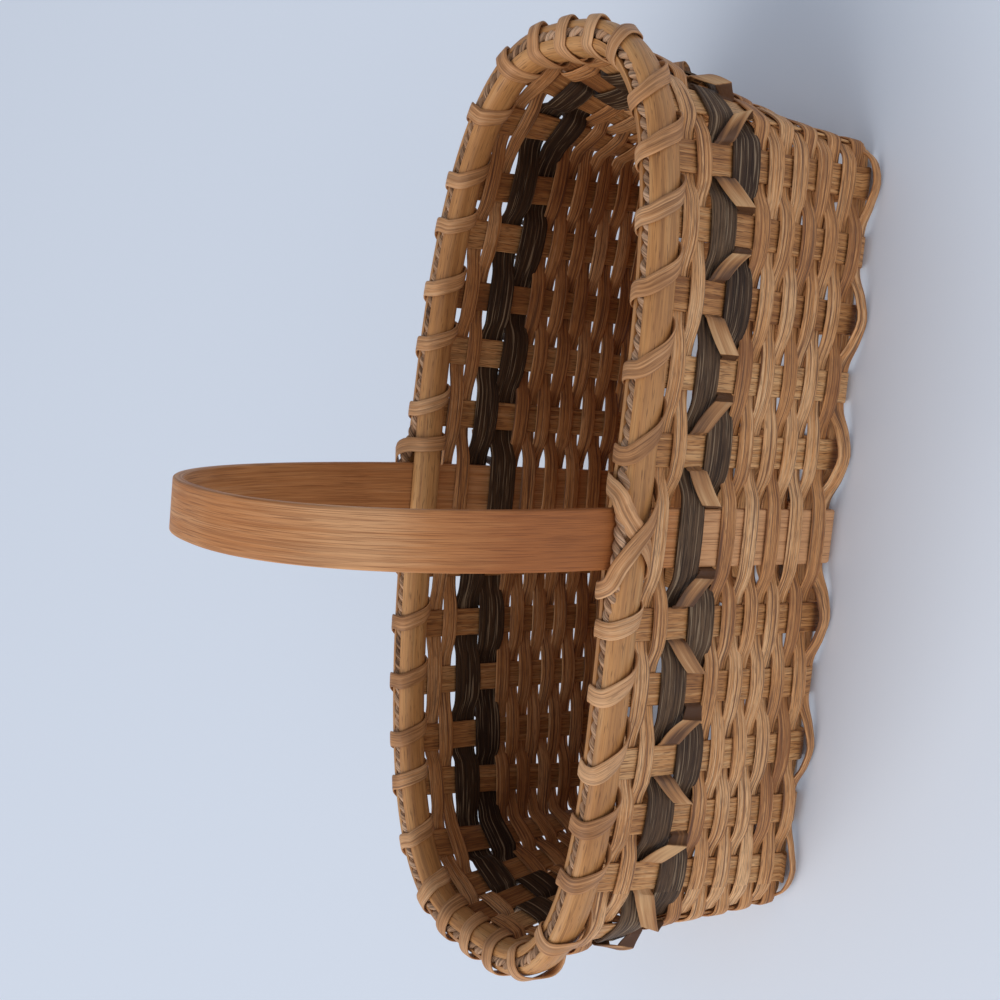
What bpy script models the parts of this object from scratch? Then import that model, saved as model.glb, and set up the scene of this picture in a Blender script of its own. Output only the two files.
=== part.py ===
"""A split-reed harvest basket with a bent oak handle, as separate pieces in metres.

The basket stands on z = 0 with its length along X and its handle arching over it
in the YZ plane. The uprights are numbered anticlockwise seen from above, from the
near left corner: near wall, right end, far wall and left end. The middle ones of
the near and far walls are the legs of the handle. All other pieces take their
places from these uprights.
"""

import math

import bmesh
import bpy
from mathutils import Vector

# Plan and height of the wall, measured at the middle of the uprights' thickness
BASE_HALF_LENGTH = 0.205
BASE_HALF_WIDTH = 0.0843
END_FLARE = 0.028
SIDE_FLARE = 0.0042
RIM_HALF_LENGTH = BASE_HALF_LENGTH + END_FLARE
RIM_HALF_WIDTH = BASE_HALF_WIDTH + SIDE_FLARE
WALL_HEIGHT = 0.160
BASE_SQUARENESS_share = 14.0
RIM_SQUARENESS_share = 3.1
ROUNDING_POWER_share = 0.6

# Dip of the rims and rows toward both ends, none under the handle
END_DIP = 0.009
DIP_POWER_share = 1.5

# Gap kept between pieces that touch
FIT = 0.0003

# Uprights, as many as fit between the corners at about their spacing
STAKE_WIDTH = 0.0159
STAKE_THICKNESS = 0.0014
STAKE_TOP_DROP = 0.0032
STAKE_TOP = WALL_HEIGHT - STAKE_TOP_DROP
CROSS_STAKE_SPACING = 0.0353
FIRST_STAKE_EXTRA = 0.0082
CROSS_ROOM_AT_BASE = 0.0203
CROSS_ROOM_AT_RIM = 0.06308
LAST_CROSS_AT_BASE = BASE_HALF_LENGTH - CROSS_ROOM_AT_BASE
LAST_CROSS_AT_RIM = RIM_HALF_LENGTH - CROSS_ROOM_AT_RIM
CROSS_STAKES_PER_HALF = round((LAST_CROSS_AT_BASE - FIRST_STAKE_EXTRA) / CROSS_STAKE_SPACING)
END_STAKE_SPACING = 0.0232
END_ROOM_AT_BASE = 0.0147
END_ROOM_AT_RIM = 0.02447
LAST_END_AT_BASE = BASE_HALF_WIDTH - END_ROOM_AT_BASE
LAST_END_AT_RIM = RIM_HALF_WIDTH - END_ROOM_AT_RIM
END_STAKES_PER_HALF = round(LAST_END_AT_BASE / END_STAKE_SPACING)
TURN_UP_RADIUS = 0.0038
STAKE_REACH = 0.002
CORNER_SPANS = 10
PLAIN_SPANS = 5

# Handle, narrower at its top than at the rims, with a squarish arch
HANDLE_WIDTH = 0.0286
HANDLE_TOP_WIDTH = 0.0252
HANDLE_THICKNESS = 0.0050
HANDLE_HEIGHT = 0.3285
HANDLE_EDGE_RADIUS = 0.0012
HANDLE_CORNER_RADIUS = 0.0045
ARCH_RISE_share = 0.854
ARCH_ROUNDING_share = 0.824
ARCH_STEPS = 18
CORNER_STEPS = 4

# Rims, laid on both sides of the uprights
RIM_DROP = 0.0170
RIM_RISE = 0.0016
RIM_BOTTOM = WALL_HEIGHT - RIM_DROP
RIM_TOP = WALL_HEIGHT + RIM_RISE
RIM_THICKNESS = 0.0060
RIM_LOW_EDGE = 0.0035
RIM_HIGH_EDGE = 0.0036
RIM_GROOVE = 0.0056
INNER_RIM_REACH = -0.0032

# Weavers, with as many plain rows as fit under the dark rows and the rims
WEAVER_WIDTH = 0.0078
WEAVER_THICKNESS = 0.0015
WEAVER_PITCH = 0.0081
FIRST_ROW_HEIGHT = 0.0112
FIRST_ROW_BOTTOM = FIRST_ROW_HEIGHT - WEAVER_WIDTH / 2
DARK_WIDTH = 0.0159
DARK_PITCH = DARK_WIDTH + WEAVER_PITCH - WEAVER_WIDTH
DARK_THICKNESS = 0.0013
DARK_ROWS = 2
UPPER_ROWS = 2
UPPER_ROW_GAP = 0.0021
UPPER_BAND = DARK_ROWS * DARK_PITCH + UPPER_ROW_GAP + UPPER_ROWS * WEAVER_PITCH
PLAIN_ROWS = int((RIM_BOTTOM - FIRST_ROW_BOTTOM - UPPER_BAND) / WEAVER_PITCH)
WEAVE_MARGIN = 0.0008

# Curled strip over the dark rows
CURL_WIDTH = 0.0080
CURL_THICKNESS = 0.0008
CURL_REACH = 0.0095
CURL_SWELL_share = 0.72
CURL_STATION_shares = (0.0, 0.0, 0.25, 0.5, 0.75, 1.0, 1.0)

# Seagrass cord in the groove between the rims
CORD_DIAMETER = 0.0056
CORD_RISE = 0.0003
CORD_HEIGHT = WALL_HEIGHT + CORD_RISE
CORD_SIDES = 6

# Lashing strip
LASH_WIDTH = 0.0055
LASH_PASS_WIDTH = 0.0036
LASH_THICKNESS = 0.0010
LASH_CLEARANCE = 0.0009
LASH_EASE_share = 0.15
LEG_PASS = 0.0300
CROSS_PASS = 0.0200
LEG_TURN = 0.0190
CROSS_END_RISE = 0.0022
LEG_CROWN_IN = 0.0040
LEG_CROWN_FALL = 0.0020


def wipe_scene():
    for old in list(bpy.data.objects):
        bpy.data.objects.remove(old, do_unlink=True)


def make_collection(name):
    collection = bpy.data.collections.new(name)
    bpy.context.scene.collection.children.link(collection)
    return collection


def make_material(name, color, roughness):
    material = bpy.data.materials.new(name)
    material.use_nodes = True
    shader = material.node_tree.nodes["Principled BSDF"]
    shader.inputs["Base Color"].default_value = (*color, 1.0)
    shader.inputs["Roughness"].default_value = roughness
    shader.inputs["Metallic"].default_value = 0.0
    return material


# The wall

def wall_section(z):
    """Half length, half width and squareness of the wall's plan at a height."""
    rise = min(max(z / WALL_HEIGHT, 0.0), 1.0)
    half_length = BASE_HALF_LENGTH + (RIM_HALF_LENGTH - BASE_HALF_LENGTH) * rise
    half_width = BASE_HALF_WIDTH + (RIM_HALF_WIDTH - BASE_HALF_WIDTH) * rise
    fall = (RIM_SQUARENESS_share / BASE_SQUARENESS_share) ** (rise ** ROUNDING_POWER_share)
    return half_length, half_width, BASE_SQUARENESS_share * fall


def wall_reach(share, power):
    return (1.0 - min(abs(share), 1.0) ** power) ** (1.0 / power)


def cross_stake_x(step, z):
    """Place along X of a cross stake, counted from the handle."""
    if step == 0:
        return 0.0
    share = abs(step) / CROSS_STAKES_PER_HALF
    spread = FIRST_STAKE_EXTRA + (LAST_CROSS_AT_BASE - FIRST_STAKE_EXTRA) * share
    lean = (LAST_CROSS_AT_RIM / LAST_CROSS_AT_BASE - 1.0) * share ** 2 * z / WALL_HEIGHT
    return math.copysign(spread * (1.0 + lean), step)


def end_stake_y(step, z):
    last = LAST_END_AT_BASE + (LAST_END_AT_RIM - LAST_END_AT_BASE) * z / WALL_HEIGHT
    return last * step / END_STAKES_PER_HALF


class Upright:
    """One upright: where its middle is at any height, and how it is turned there."""

    def __init__(self, side, step):
        self.side = side
        self.step = step
        self.is_leg = side in ("near", "far") and step == 0
        self.half_width = (HANDLE_WIDTH if self.is_leg else STAKE_WIDTH) / 2
        self.thickness = HANDLE_THICKNESS if self.is_leg else STAKE_THICKNESS
        last = CROSS_STAKES_PER_HALF if side in ("near", "far") else END_STAKES_PER_HALF
        self.spans = CORNER_SPANS if abs(step) >= last - 1 else PLAIN_SPANS
        self.heights = [WALL_HEIGHT * i / self.spans for i in range(self.spans + 1)]
        self.centres = [self.true_centre(z) for z in self.heights]
        self.outwards = [self.true_outward(z) for z in self.heights]

    def true_centre(self, z):
        half_length, half_width, power = wall_section(z)
        if self.side in ("near", "far"):
            x = cross_stake_x(self.step, z)
            y = half_width * wall_reach(x / half_length, power)
            return Vector((x, -y if self.side == "near" else y, z))
        y = end_stake_y(self.step, z)
        x = half_length * wall_reach(y / half_width, power)
        return Vector((x if self.side == "right" else -x, y, z))

    def true_outward(self, z):
        """Square to its side at the floor, and turned evenly to follow the rim at the top."""
        half_length, half_width, power = wall_section(WALL_HEIGHT)
        at = self.true_centre(WALL_HEIGHT)
        slope_x = math.copysign(abs(at.x / half_length) ** (power - 1) / half_length, at.x)
        slope_y = math.copysign(abs(at.y / half_width) ** (power - 1) / half_width, at.y)
        turned = Vector((slope_x, slope_y, 0.0)).normalized()
        square = {"near": (0, -1, 0), "far": (0, 1, 0), "right": (1, 0, 0), "left": (-1, 0, 0)}
        return Vector(square[self.side]).lerp(turned, z / WALL_HEIGHT).normalized()

    def between(self, values, z):
        """Value at a height, on straight lines between the sampled heights."""
        place = min(max(z / WALL_HEIGHT, 0.0), 1.0) * self.spans
        i = min(int(place), self.spans - 1)
        return values[i].lerp(values[i + 1], place - i)

    def centre(self, z):
        at = self.between(self.centres, z)
        return Vector((at.x, at.y, z))

    def outward(self, z):
        return self.between(self.outwards, z)

    def along(self, z):
        """Level direction along the wall, anticlockwise seen from above."""
        out = self.outward(z)
        return Vector((-out.y, out.x, 0.0))

    def edge(self, sign, z):
        return self.centre(z) + self.along(z) * sign * self.half_width

    def beyond_edge(self, sign, z, reach):
        return self.centre(z) + self.along(z) * sign * (self.half_width + reach)


def list_uprights():
    cross = range(-CROSS_STAKES_PER_HALF, CROSS_STAKES_PER_HALF + 1)
    ends = range(-END_STAKES_PER_HALF, END_STAKES_PER_HALF + 1)
    near = [Upright("near", step) for step in cross]
    right = [Upright("right", step) for step in ends]
    far = [Upright("far", -step) for step in cross]
    left = [Upright("left", -step) for step in ends]
    return near + right + far + left


UPRIGHTS = list_uprights()
COUNT = len(UPRIGHTS)


def gap_after(k, z, reach=STAKE_REACH):
    """Length along the wall from the edge of upright k to the edge of the next one."""
    here, after = UPRIGHTS[k % COUNT], UPRIGHTS[(k + 1) % COUNT]
    return (after.beyond_edge(-1, z, reach) - here.beyond_edge(1, z, reach)).length + 2 * reach


def wall_point(k, along, out, z, reach=STAKE_REACH):
    """Point a distance along the wall from upright k and a distance out of it.

    The wall is flat at each upright as far as the reach past its edges.
    """
    here, after = UPRIGHTS[k % COUNT], UPRIGHTS[(k + 1) % COUNT]
    flat = here.half_width + reach
    if along < -flat:
        before = UPRIGHTS[(k - 1) % COUNT]
        step = before.half_width + gap_after(k - 1, z, reach) + here.half_width
        return wall_point(k - 1, along + step, out, z, reach)
    if along <= flat:
        return here.centre(z) + here.along(z) * along + here.outward(z) * out
    gap = gap_after(k, z, reach) - 2 * reach
    share = (along - flat) / gap
    if share > 1.0:
        step = here.half_width + gap_after(k, z, reach) + after.half_width
        return wall_point(k + 1, along - step, out, z, reach)
    at = here.beyond_edge(1, z, reach).lerp(after.beyond_edge(-1, z, reach), share)
    return at + here.outward(z).lerp(after.outward(z), share).normalized() * out


def wall_outward(k, along, z, reach=STAKE_REACH):
    return (wall_point(k, along, FIT, z, reach) - wall_point(k, along, 0.0, z, reach)).normalized()


# Lofting a strip through four-sided or many-sided sections

def dipped(point):
    """Place of a point once the wall dips from the handle to its ends, more the higher it is."""
    edge = HANDLE_WIDTH / 2
    share = (max(abs(point.x) - edge, 0.0) / (RIM_HALF_LENGTH - edge)) ** DIP_POWER_share
    rise = min(max(point.z / WALL_HEIGHT, 0.0), 1.0)
    return Vector((point.x, point.y, point.z - END_DIP * share * rise))


def split_quad(shape, corners, middle):
    """Two triangles on the diagonal that lies nearer to the middle of the strip."""
    a, b, c, d = corners
    one, other = (a.co + c.co) / 2, (b.co + d.co) / 2
    outward = (one + other) / 2 - middle
    if outward.dot(one - other) <= 0.0:
        shape.faces.new((a, b, c))
        shape.faces.new((a, c, d))
    else:
        shape.faces.new((a, b, d))
        shape.faces.new((b, c, d))


def split_alike(shape, ring, after, corners, j):
    """Two triangles on the same diagonal as the face on the other side of the strip."""
    a, b, c, d = corners
    straight = (ring[0].co - after[1].co).length <= (ring[1].co - after[0].co).length
    if straight == (j == 0):
        shape.faces.new((a, b, c))
        shape.faces.new((a, c, d))
    else:
        shape.faces.new((a, b, d))
        shape.faces.new((b, c, d))


def mean_point(ring):
    return sum((vertex.co for vertex in ring), Vector()) / len(ring)


NO_SPANS = ()
GAP_SPANS = (1,)
ALL_SPANS = (0, 1)


def loft(name, sections, material, collection, closed, even_spans=NO_SPANS):
    """One closed solid through rings of points that all have the same count.

    A four-sided strip keeps its thickness over the even spans, where it twists
    strongly. Elsewhere faces that are not flat bend inward, clear of what they touch.
    """
    mesh = bpy.data.meshes.new(name)
    shape = bmesh.new()
    rings = [[shape.verts.new(dipped(point)) for point in ring] for ring in sections]
    sides = len(sections[0])
    spans = len(rings) if closed else len(rings) - 1
    for i in range(spans):
        ring, after = rings[i], rings[(i + 1) % len(rings)]
        middle = (mean_point(ring) + mean_point(after)) / 2
        for j in range(sides):
            j_after = (j + 1) % sides
            corners = (ring[j], ring[j_after], after[j_after], after[j])
            if i % 2 in even_spans and j % 2 == 0:
                split_alike(shape, ring, after, corners, j)
            else:
                split_quad(shape, corners, middle)
    if not closed:
        shape.faces.new(rings[0])
        shape.faces.new(list(reversed(rings[-1])))
    bmesh.ops.triangulate(shape, faces=shape.faces[:])
    bmesh.ops.recalc_face_normals(shape, faces=shape.faces[:])
    shape.to_mesh(mesh)
    shape.free()
    mesh.materials.append(material)
    mesh.shade_smooth()
    mesh.set_sharp_from_angle(angle=math.radians(35.0))
    part = bpy.data.objects.new(name, mesh)
    collection.objects.link(part)
    return part


def ribbon_sections(points, faces, widths, thickness, closed):
    """Sections of a flat strip along points, each with the way that its face looks."""
    sections = []
    for i, (point, face, width) in enumerate(zip(points, faces, widths)):
        if closed:
            before, after = points[i - 1], points[(i + 1) % len(points)]
        else:
            before, after = points[max(i - 1, 0)], points[min(i + 1, len(points) - 1)]
        run = (after - before).normalized()
        side = face.cross(run).normalized()
        up = run.cross(side).normalized()
        across, through = side * width / 2, up * thickness / 2
        sections.append([point - across - through, point + across - through,
                         point + across + through, point - across + through])
    return sections


# Uprights and handle

def floor_height(layer):
    """Middle of a stake under the basket: cross stakes lie lowest, long stakes on them."""
    return STAKE_THICKNESS / 2 + layer * (STAKE_THICKNESS + FIT)


def stake_end_sections(upright, low):
    """Sections of a stake from the floor round its bend and up the wall."""
    out = upright.outward(0.0)
    along = upright.along(0.0) * STAKE_WIDTH / 2
    foot = upright.centre(0.0)
    radius = TURN_UP_RADIUS
    sections = []
    for degrees in (0.0, 45.0):
        angle = math.radians(degrees)
        level = foot - out * radius * (1.0 - math.sin(angle))
        point = Vector((level.x, level.y, low + radius * (1.0 - math.cos(angle))))
        face = (out * math.sin(angle) - Vector((0, 0, 1)) * math.cos(angle)) * STAKE_THICKNESS / 2
        sections.append([point - along - face, point + along - face,
                         point + along + face, point - along + face])
    climb = [low + radius] + [z for z in upright.heights if low + radius < z < STAKE_TOP] + [STAKE_TOP]
    for z in climb:
        face = upright.outward(z) * STAKE_THICKNESS / 2
        left, right = upright.edge(-1, z), upright.edge(1, z)
        sections.append([left - face, right - face, right + face, left + face])
    return sections


def make_stake(name, start, end, low, hump, material, collection):
    """A flat stake up one wall, under the basket and up the other wall."""
    sections = [[b, a, d, c] for a, b, c, d in reversed(stake_end_sections(start, low))]
    across = start.along(0.0) * STAKE_WIDTH / 2
    up = Vector((0, 0, STAKE_THICKNESS / 2))
    for point in hump:
        sections.append([point + across + up, point - across + up,
                         point - across - up, point + across - up])
    sections += stake_end_sections(end, low)
    return loft(name, sections, material, collection, False)


def make_cross_stakes(material, collection):
    number = 0
    for step in range(-CROSS_STAKES_PER_HALF, CROSS_STAKES_PER_HALF + 1):
        if step == 0:
            continue
        number += 1
        near, far = Upright("near", step), Upright("far", step)
        make_stake(f"cross_stake_{number:02d}", near, far, floor_height(0), [], material, collection)


def make_long_stakes(material, collection):
    """Stakes along the basket lie on the cross stakes and rise over the handle's foot."""
    low = floor_height(1)
    high = HANDLE_THICKNESS + FIT + STAKE_THICKNESS / 2
    flat = HANDLE_WIDTH / 2 + WEAVE_MARGIN
    ramp = cross_stake_x(1, 0.0) - STAKE_WIDTH / 2
    for number, step in enumerate(range(-END_STAKES_PER_HALF, END_STAKES_PER_HALF + 1), 1):
        y = end_stake_y(step, 0.0)
        hump = [Vector((-ramp, y, low)), Vector((-flat, y, high)),
                Vector((flat, y, high)), Vector((ramp, y, low))]
        left, right = Upright("left", step), Upright("right", step)
        make_stake(f"long_stake_{number:02d}", left, right, low, hump, material, collection)


def handle_path():
    """Middle line of the hoop: across the floor, up both legs and over the arch."""
    low = HANDLE_THICKNESS / 2
    leg = UPRIGHTS[CROSS_STAKES_PER_HALF]
    foot = -leg.centre(0.0).y
    lean = (RIM_HALF_WIDTH - BASE_HALF_WIDTH) / WALL_HEIGHT
    top = HANDLE_HEIGHT - HANDLE_THICKNESS / 2
    spring = HANDLE_HEIGHT - ARCH_RISE_share * (HANDLE_HEIGHT - WALL_HEIGHT)
    reach = foot + lean * spring
    points, faces = [], []

    def add(y, z, face_y, face_z):
        points.append(Vector((0.0, y, z)))
        faces.append(Vector((0.0, face_y, face_z)).normalized())

    corner = HANDLE_CORNER_RADIUS
    turns = [math.pi / 2 * i / CORNER_STEPS for i in range(CORNER_STEPS + 1)]
    for angle in turns:
        add(foot - corner * (1.0 - math.sin(angle)), low + corner * (1.0 - math.cos(angle)),
            math.sin(angle), -math.cos(angle))
    for z in (WALL_HEIGHT / 4, WALL_HEIGHT / 2, WALL_HEIGHT, (WALL_HEIGHT + spring) / 2):
        add(foot + lean * z, z, 1.0, 0.0)
    for i in range(ARCH_STEPS + 1):
        angle = math.pi * i / ARCH_STEPS
        level, rise = math.cos(angle), math.sin(angle)
        across = math.copysign(abs(level) ** ARCH_ROUNDING_share, level)
        up = abs(rise) ** ARCH_ROUNDING_share
        tilt_share = 2.0 - ARCH_ROUNDING_share
        add(reach * across, spring + (top - spring) * up,
            math.copysign(abs(level) ** tilt_share, level) / reach,
            abs(rise) ** tilt_share / (top - spring))
    for z in ((WALL_HEIGHT + spring) / 2, WALL_HEIGHT, WALL_HEIGHT / 2, WALL_HEIGHT / 4):
        add(-foot - lean * z, z, -1.0, 0.0)
    for angle in reversed(turns):
        add(-foot + corner * (1.0 - math.sin(angle)), low + corner * (1.0 - math.cos(angle)),
            -math.sin(angle), -math.cos(angle))
    return points, faces


def handle_outline(width):
    half, deep, edge = width / 2, HANDLE_THICKNESS / 2, HANDLE_EDGE_RADIUS
    return [(-half, -deep + edge), (-half + edge, -deep), (half - edge, -deep),
            (half, -deep + edge), (half, deep - edge), (half - edge, deep),
            (-half + edge, deep), (-half, deep - edge)]


def make_handle(material, collection):
    points, faces = handle_path()
    across = Vector((1, 0, 0))
    sections = []
    for point, face in zip(points, faces):
        rise = max(point.z - WALL_HEIGHT, 0.0) / (HANDLE_HEIGHT - WALL_HEIGHT)
        width = HANDLE_WIDTH + (HANDLE_TOP_WIDTH - HANDLE_WIDTH) * rise
        sections.append([point + across * a + face * b for a, b in handle_outline(width)])
    return loft("handle", sections, material, collection, True)


# Weavers

def row_plan():
    """Name, lower edge, width, thickness and kind of each row from the bottom up."""
    rows = []
    bottom = FIRST_ROW_BOTTOM
    for i in range(PLAIN_ROWS):
        rows.append((bottom + i * WEAVER_PITCH, WEAVER_WIDTH, WEAVER_THICKNESS, "weaver"))
    bottom += PLAIN_ROWS * WEAVER_PITCH
    for i in range(DARK_ROWS):
        rows.append((bottom + i * DARK_PITCH, DARK_WIDTH, DARK_THICKNESS, "dark"))
    bottom += DARK_ROWS * DARK_PITCH + UPPER_ROW_GAP
    for i in range(UPPER_ROWS):
        rows.append((bottom + i * WEAVER_PITCH, WEAVER_WIDTH, WEAVER_THICKNESS, "weaver"))
    return rows


def passes_outside(row, k):
    """Odd rows pass outside the even uprights, and even rows outside the odd ones."""
    return (row + k) % 2 == 1


def row_offset(upright, outside, thickness, kind):
    clear = upright.thickness / 2 + FIT + thickness / 2
    if outside:
        return clear
    if kind == "dark":
        clear += CURL_THICKNESS + FIT
    return -clear


def inner_margin(kind):
    """How far a row keeps straight past the edge of an upright that it passes inside."""
    if kind == "dark":
        return WEAVE_MARGIN + CURL_THICKNESS + FIT
    return WEAVE_MARGIN


def make_row(name, row, bottom, width, thickness, kind, material, collection):
    sections = []
    for k, upright in enumerate(UPRIGHTS):
        outside = passes_outside(row, k)
        offset = row_offset(upright, outside, thickness, kind)
        margin = WEAVE_MARGIN if outside else inner_margin(kind)
        for sign in (-1, 1):
            along = sign * (upright.half_width + margin)
            section = []
            for z, side in ((bottom, -1), (bottom, 1), (bottom + width, 1), (bottom + width, -1)):
                section.append(wall_point(k, along, offset + side * thickness / 2, z))
            sections.append(section)
    return loft(name, sections, material, collection, True, GAP_SPANS)


def make_rows(weaver, dark, collection):
    for row, (bottom, width, thickness, kind) in enumerate(row_plan(), 1):
        name = f"{'dark_row' if kind == 'dark' else 'weaver_row'}_{row:02d}"
        material = dark if kind == "dark" else weaver
        make_row(name, row, bottom, width, thickness, kind, material, collection)


# Curled strip

def make_curls(material, collection):
    """A strip tucked behind each upright beside a dark row, and looped out in each gap."""
    plan = row_plan()
    lower, upper = plan[PLAIN_ROWS], plan[PLAIN_ROWS + 1]
    low, high = lower[0] + lower[1] / 2, upper[0] + upper[1] / 2
    swell = CURL_REACH * CURL_SWELL_share
    bottoms, tops = [], []
    for k, here in enumerate(UPRIGHTS):
        after = UPRIGHTS[(k + 1) % COUNT]
        z_here, z_after = (high, low) if passes_outside(PLAIN_ROWS + 1, k) else (low, high)
        behind_here = -(here.thickness / 2 + FIT + CURL_THICKNESS / 2)
        behind_after = -(after.thickness / 2 + FIT + CURL_THICKNESS / 2)
        front = max(here.thickness, after.thickness) / 2 + DARK_THICKNESS + FIT + CURL_THICKNESS
        start = here.half_width + WEAVE_MARGIN
        outs = (behind_here, front, swell, CURL_REACH, swell, front, behind_after)
        for share, out in zip(CURL_STATION_shares, outs):
            middle = z_here + (z_after - z_here) * share
            for edge, z in ((bottoms, middle - CURL_WIDTH / 2), (tops, middle + CURL_WIDTH / 2)):
                end = here.half_width + gap_after(k, z) - WEAVE_MARGIN
                edge.append(wall_point(k, start + (end - start) * share, out, z))
    return loft("curl_strip", strip_between(bottoms, tops), material, collection, True, ALL_SPANS)


def strip_sides(points, thickness):
    """Both sides of a strip of some thickness along a closed line, level with the line."""
    sides = []
    for i, point in enumerate(points):
        before, after = point - points[i - 1], points[(i + 1) % len(points)] - point
        before.z = after.z = 0.0
        run = (before.normalized() + after.normalized()).normalized()
        through = Vector((run.y, -run.x, 0.0)) * thickness / 2
        sides.append((point - through, point + through))
    return sides


def strip_between(bottoms, tops):
    sections = []
    for low, high in zip(strip_sides(bottoms, CURL_THICKNESS), strip_sides(tops, CURL_THICKNESS)):
        sections.append([low[0], high[0], high[1], low[1]])
    return sections


# Rims, cord and lashing

def rim_outline():
    """Half-oval rim section as distances out from its seat and heights."""
    return [(0.0, RIM_BOTTOM + FIT), (RIM_THICKNESS - RIM_LOW_EDGE / 2, RIM_BOTTOM),
            (RIM_THICKNESS, RIM_BOTTOM + RIM_LOW_EDGE), (RIM_THICKNESS, RIM_TOP - RIM_HIGH_EDGE),
            (RIM_THICKNESS - RIM_HIGH_EDGE * 2 / 3, RIM_TOP), (0.0, RIM_TOP - RIM_GROOVE)]


def make_rim(name, side, reach, material, collection):
    sections = []
    for k, upright in enumerate(UPRIGHTS):
        seat = upright.thickness / 2 + FIT
        for sign in (-1, 1):
            section = []
            along = sign * (upright.half_width + reach)
            for out, z in rim_outline():
                section.append(wall_point(k, along, side * (seat + out), z, reach))
            sections.append(section)
    return loft(name, sections, material, collection, True)


def leg_numbers():
    return [k for k, upright in enumerate(UPRIGHTS) if upright.is_leg]


def leg_bulge():
    """How much further out the rims lie at a leg than at a stake."""
    return (HANDLE_THICKNESS - STAKE_THICKNESS) / 2


def cord_over_leg():
    """Place of the cord outside a leg: clear of the leg and resting on the outer rim."""
    out = HANDLE_THICKNESS / 2 + FIT + CORD_DIAMETER / 2
    height = RIM_TOP + FIT + CORD_DIAMETER / 2
    return out, height


def make_cord(material, collection):
    out_at_leg, height_at_leg = cord_over_leg()
    points = []
    for k, upright in enumerate(UPRIGHTS):
        if upright.is_leg:
            beside = upright.half_width + CORD_DIAMETER / 2
            away = upright.half_width + CORD_DIAMETER * 2
            between = height_at_leg - (height_at_leg - CORD_HEIGHT) / 3
            points.append(wall_point(k, -away, 0.0, between))
            points.append(wall_point(k, -beside, out_at_leg, height_at_leg))
            points.append(wall_point(k, beside, out_at_leg, height_at_leg))
            points.append(wall_point(k, away, 0.0, between))
            continue
        reach = upright.half_width + STAKE_REACH
        for sign in (-1, 1):
            points.append(wall_point(k, sign * reach, 0.0, CORD_HEIGHT))
    sections = []
    for i, point in enumerate(points):
        run = (points[(i + 1) % len(points)] - points[i - 1]).normalized()
        side = run.cross(Vector((0, 0, 1))).normalized()
        up = side.cross(run).normalized()
        ring = []
        for j in range(CORD_SIDES):
            angle = 2 * math.pi * (j + 0.5) / CORD_SIDES
            ring.append(point + (side * math.cos(angle) + up * math.sin(angle)) * CORD_DIAMETER / 2)
        sections.append(ring)
    return loft("seagrass_cord", sections, material, collection, True)


def lash_profile(bulge, over_cord):
    """Stations of one turn round the rims, from the top of the outer face round to the top."""
    clear = FIT + LASH_THICKNESS / 2 + LASH_CLEARANCE
    face = STAKE_THICKNESS / 2 + FIT + RIM_THICKNESS + clear + bulge
    shoulder = face - RIM_HIGH_EDGE
    toe = face - RIM_LOW_EDGE / 2
    low = RIM_BOTTOM - clear
    top = CORD_HEIGHT + CORD_DIAMETER / 2 + clear
    high = RIM_TOP - RIM_HIGH_EDGE + LASH_CLEARANCE
    knee = RIM_BOTTOM + RIM_LOW_EDGE
    crown_out, crown_in = (shoulder, top), (-shoulder, top)
    if over_cord:
        out_at_leg, height_at_leg = cord_over_leg()
        top = height_at_leg + CORD_DIAMETER / 2 + clear
        crown_out = (out_at_leg + CORD_DIAMETER / 2 + LASH_CLEARANCE, top)
        crown_in = (-LEG_CROWN_IN, top - LEG_CROWN_FALL)
    return crown_out, (face, high), (face, knee), (toe, low), crown_in


def add_down(path, k, start, end, profile, lift):
    """The strand on the outer face, from its top to where it goes in under the rim."""
    crown_out, high, knee, low, crown_in = profile
    ease = LASH_EASE_share
    down = Vector((0, 0, -1))
    up = Vector((0, 0, 1))
    span = end - start
    path.append((k, start, crown_out[0], crown_out[1], up))
    path.append((k, start + span * ease, high[0] + lift, high[1], None))
    path.append((k, end - span * ease, knee[0] + lift, knee[1], None))
    path.append((k, end, low[0], low[1], down))


def add_up(path, k, start, end, profile):
    """The strand on the inner face, from under the rim to its top."""
    crown_out, high, knee, low, crown_in = profile
    ease = LASH_EASE_share
    span = end - start
    path.append((k, start, -low[0], low[1], Vector((0, 0, -1))))
    path.append((k, start + span * ease, -knee[0], knee[1], "in"))
    path.append((k, end - span * ease, -high[0], high[1], "in"))
    path.append((k, end, crown_in[0], crown_in[1], Vector((0, 0, 1))))


def lash_sections(path, closed):
    points, faces, widths = [], [], []
    for k, along, out, z, face in path:
        reach = STAKE_REACH if out > 0 else INNER_RIM_REACH
        points.append(wall_point(k, along, out, z, reach))
        outward = wall_outward(k, along, z, reach)
        way = outward if out > 0 else -outward
        if isinstance(face, Vector):
            faces.append((face + way).normalized())
        else:
            faces.append(way)
        widths.append(LASH_PASS_WIDTH if z < RIM_BOTTOM else LASH_WIDTH)
    return ribbon_sections(points, faces, widths, LASH_THICKNESS, closed)


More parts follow.
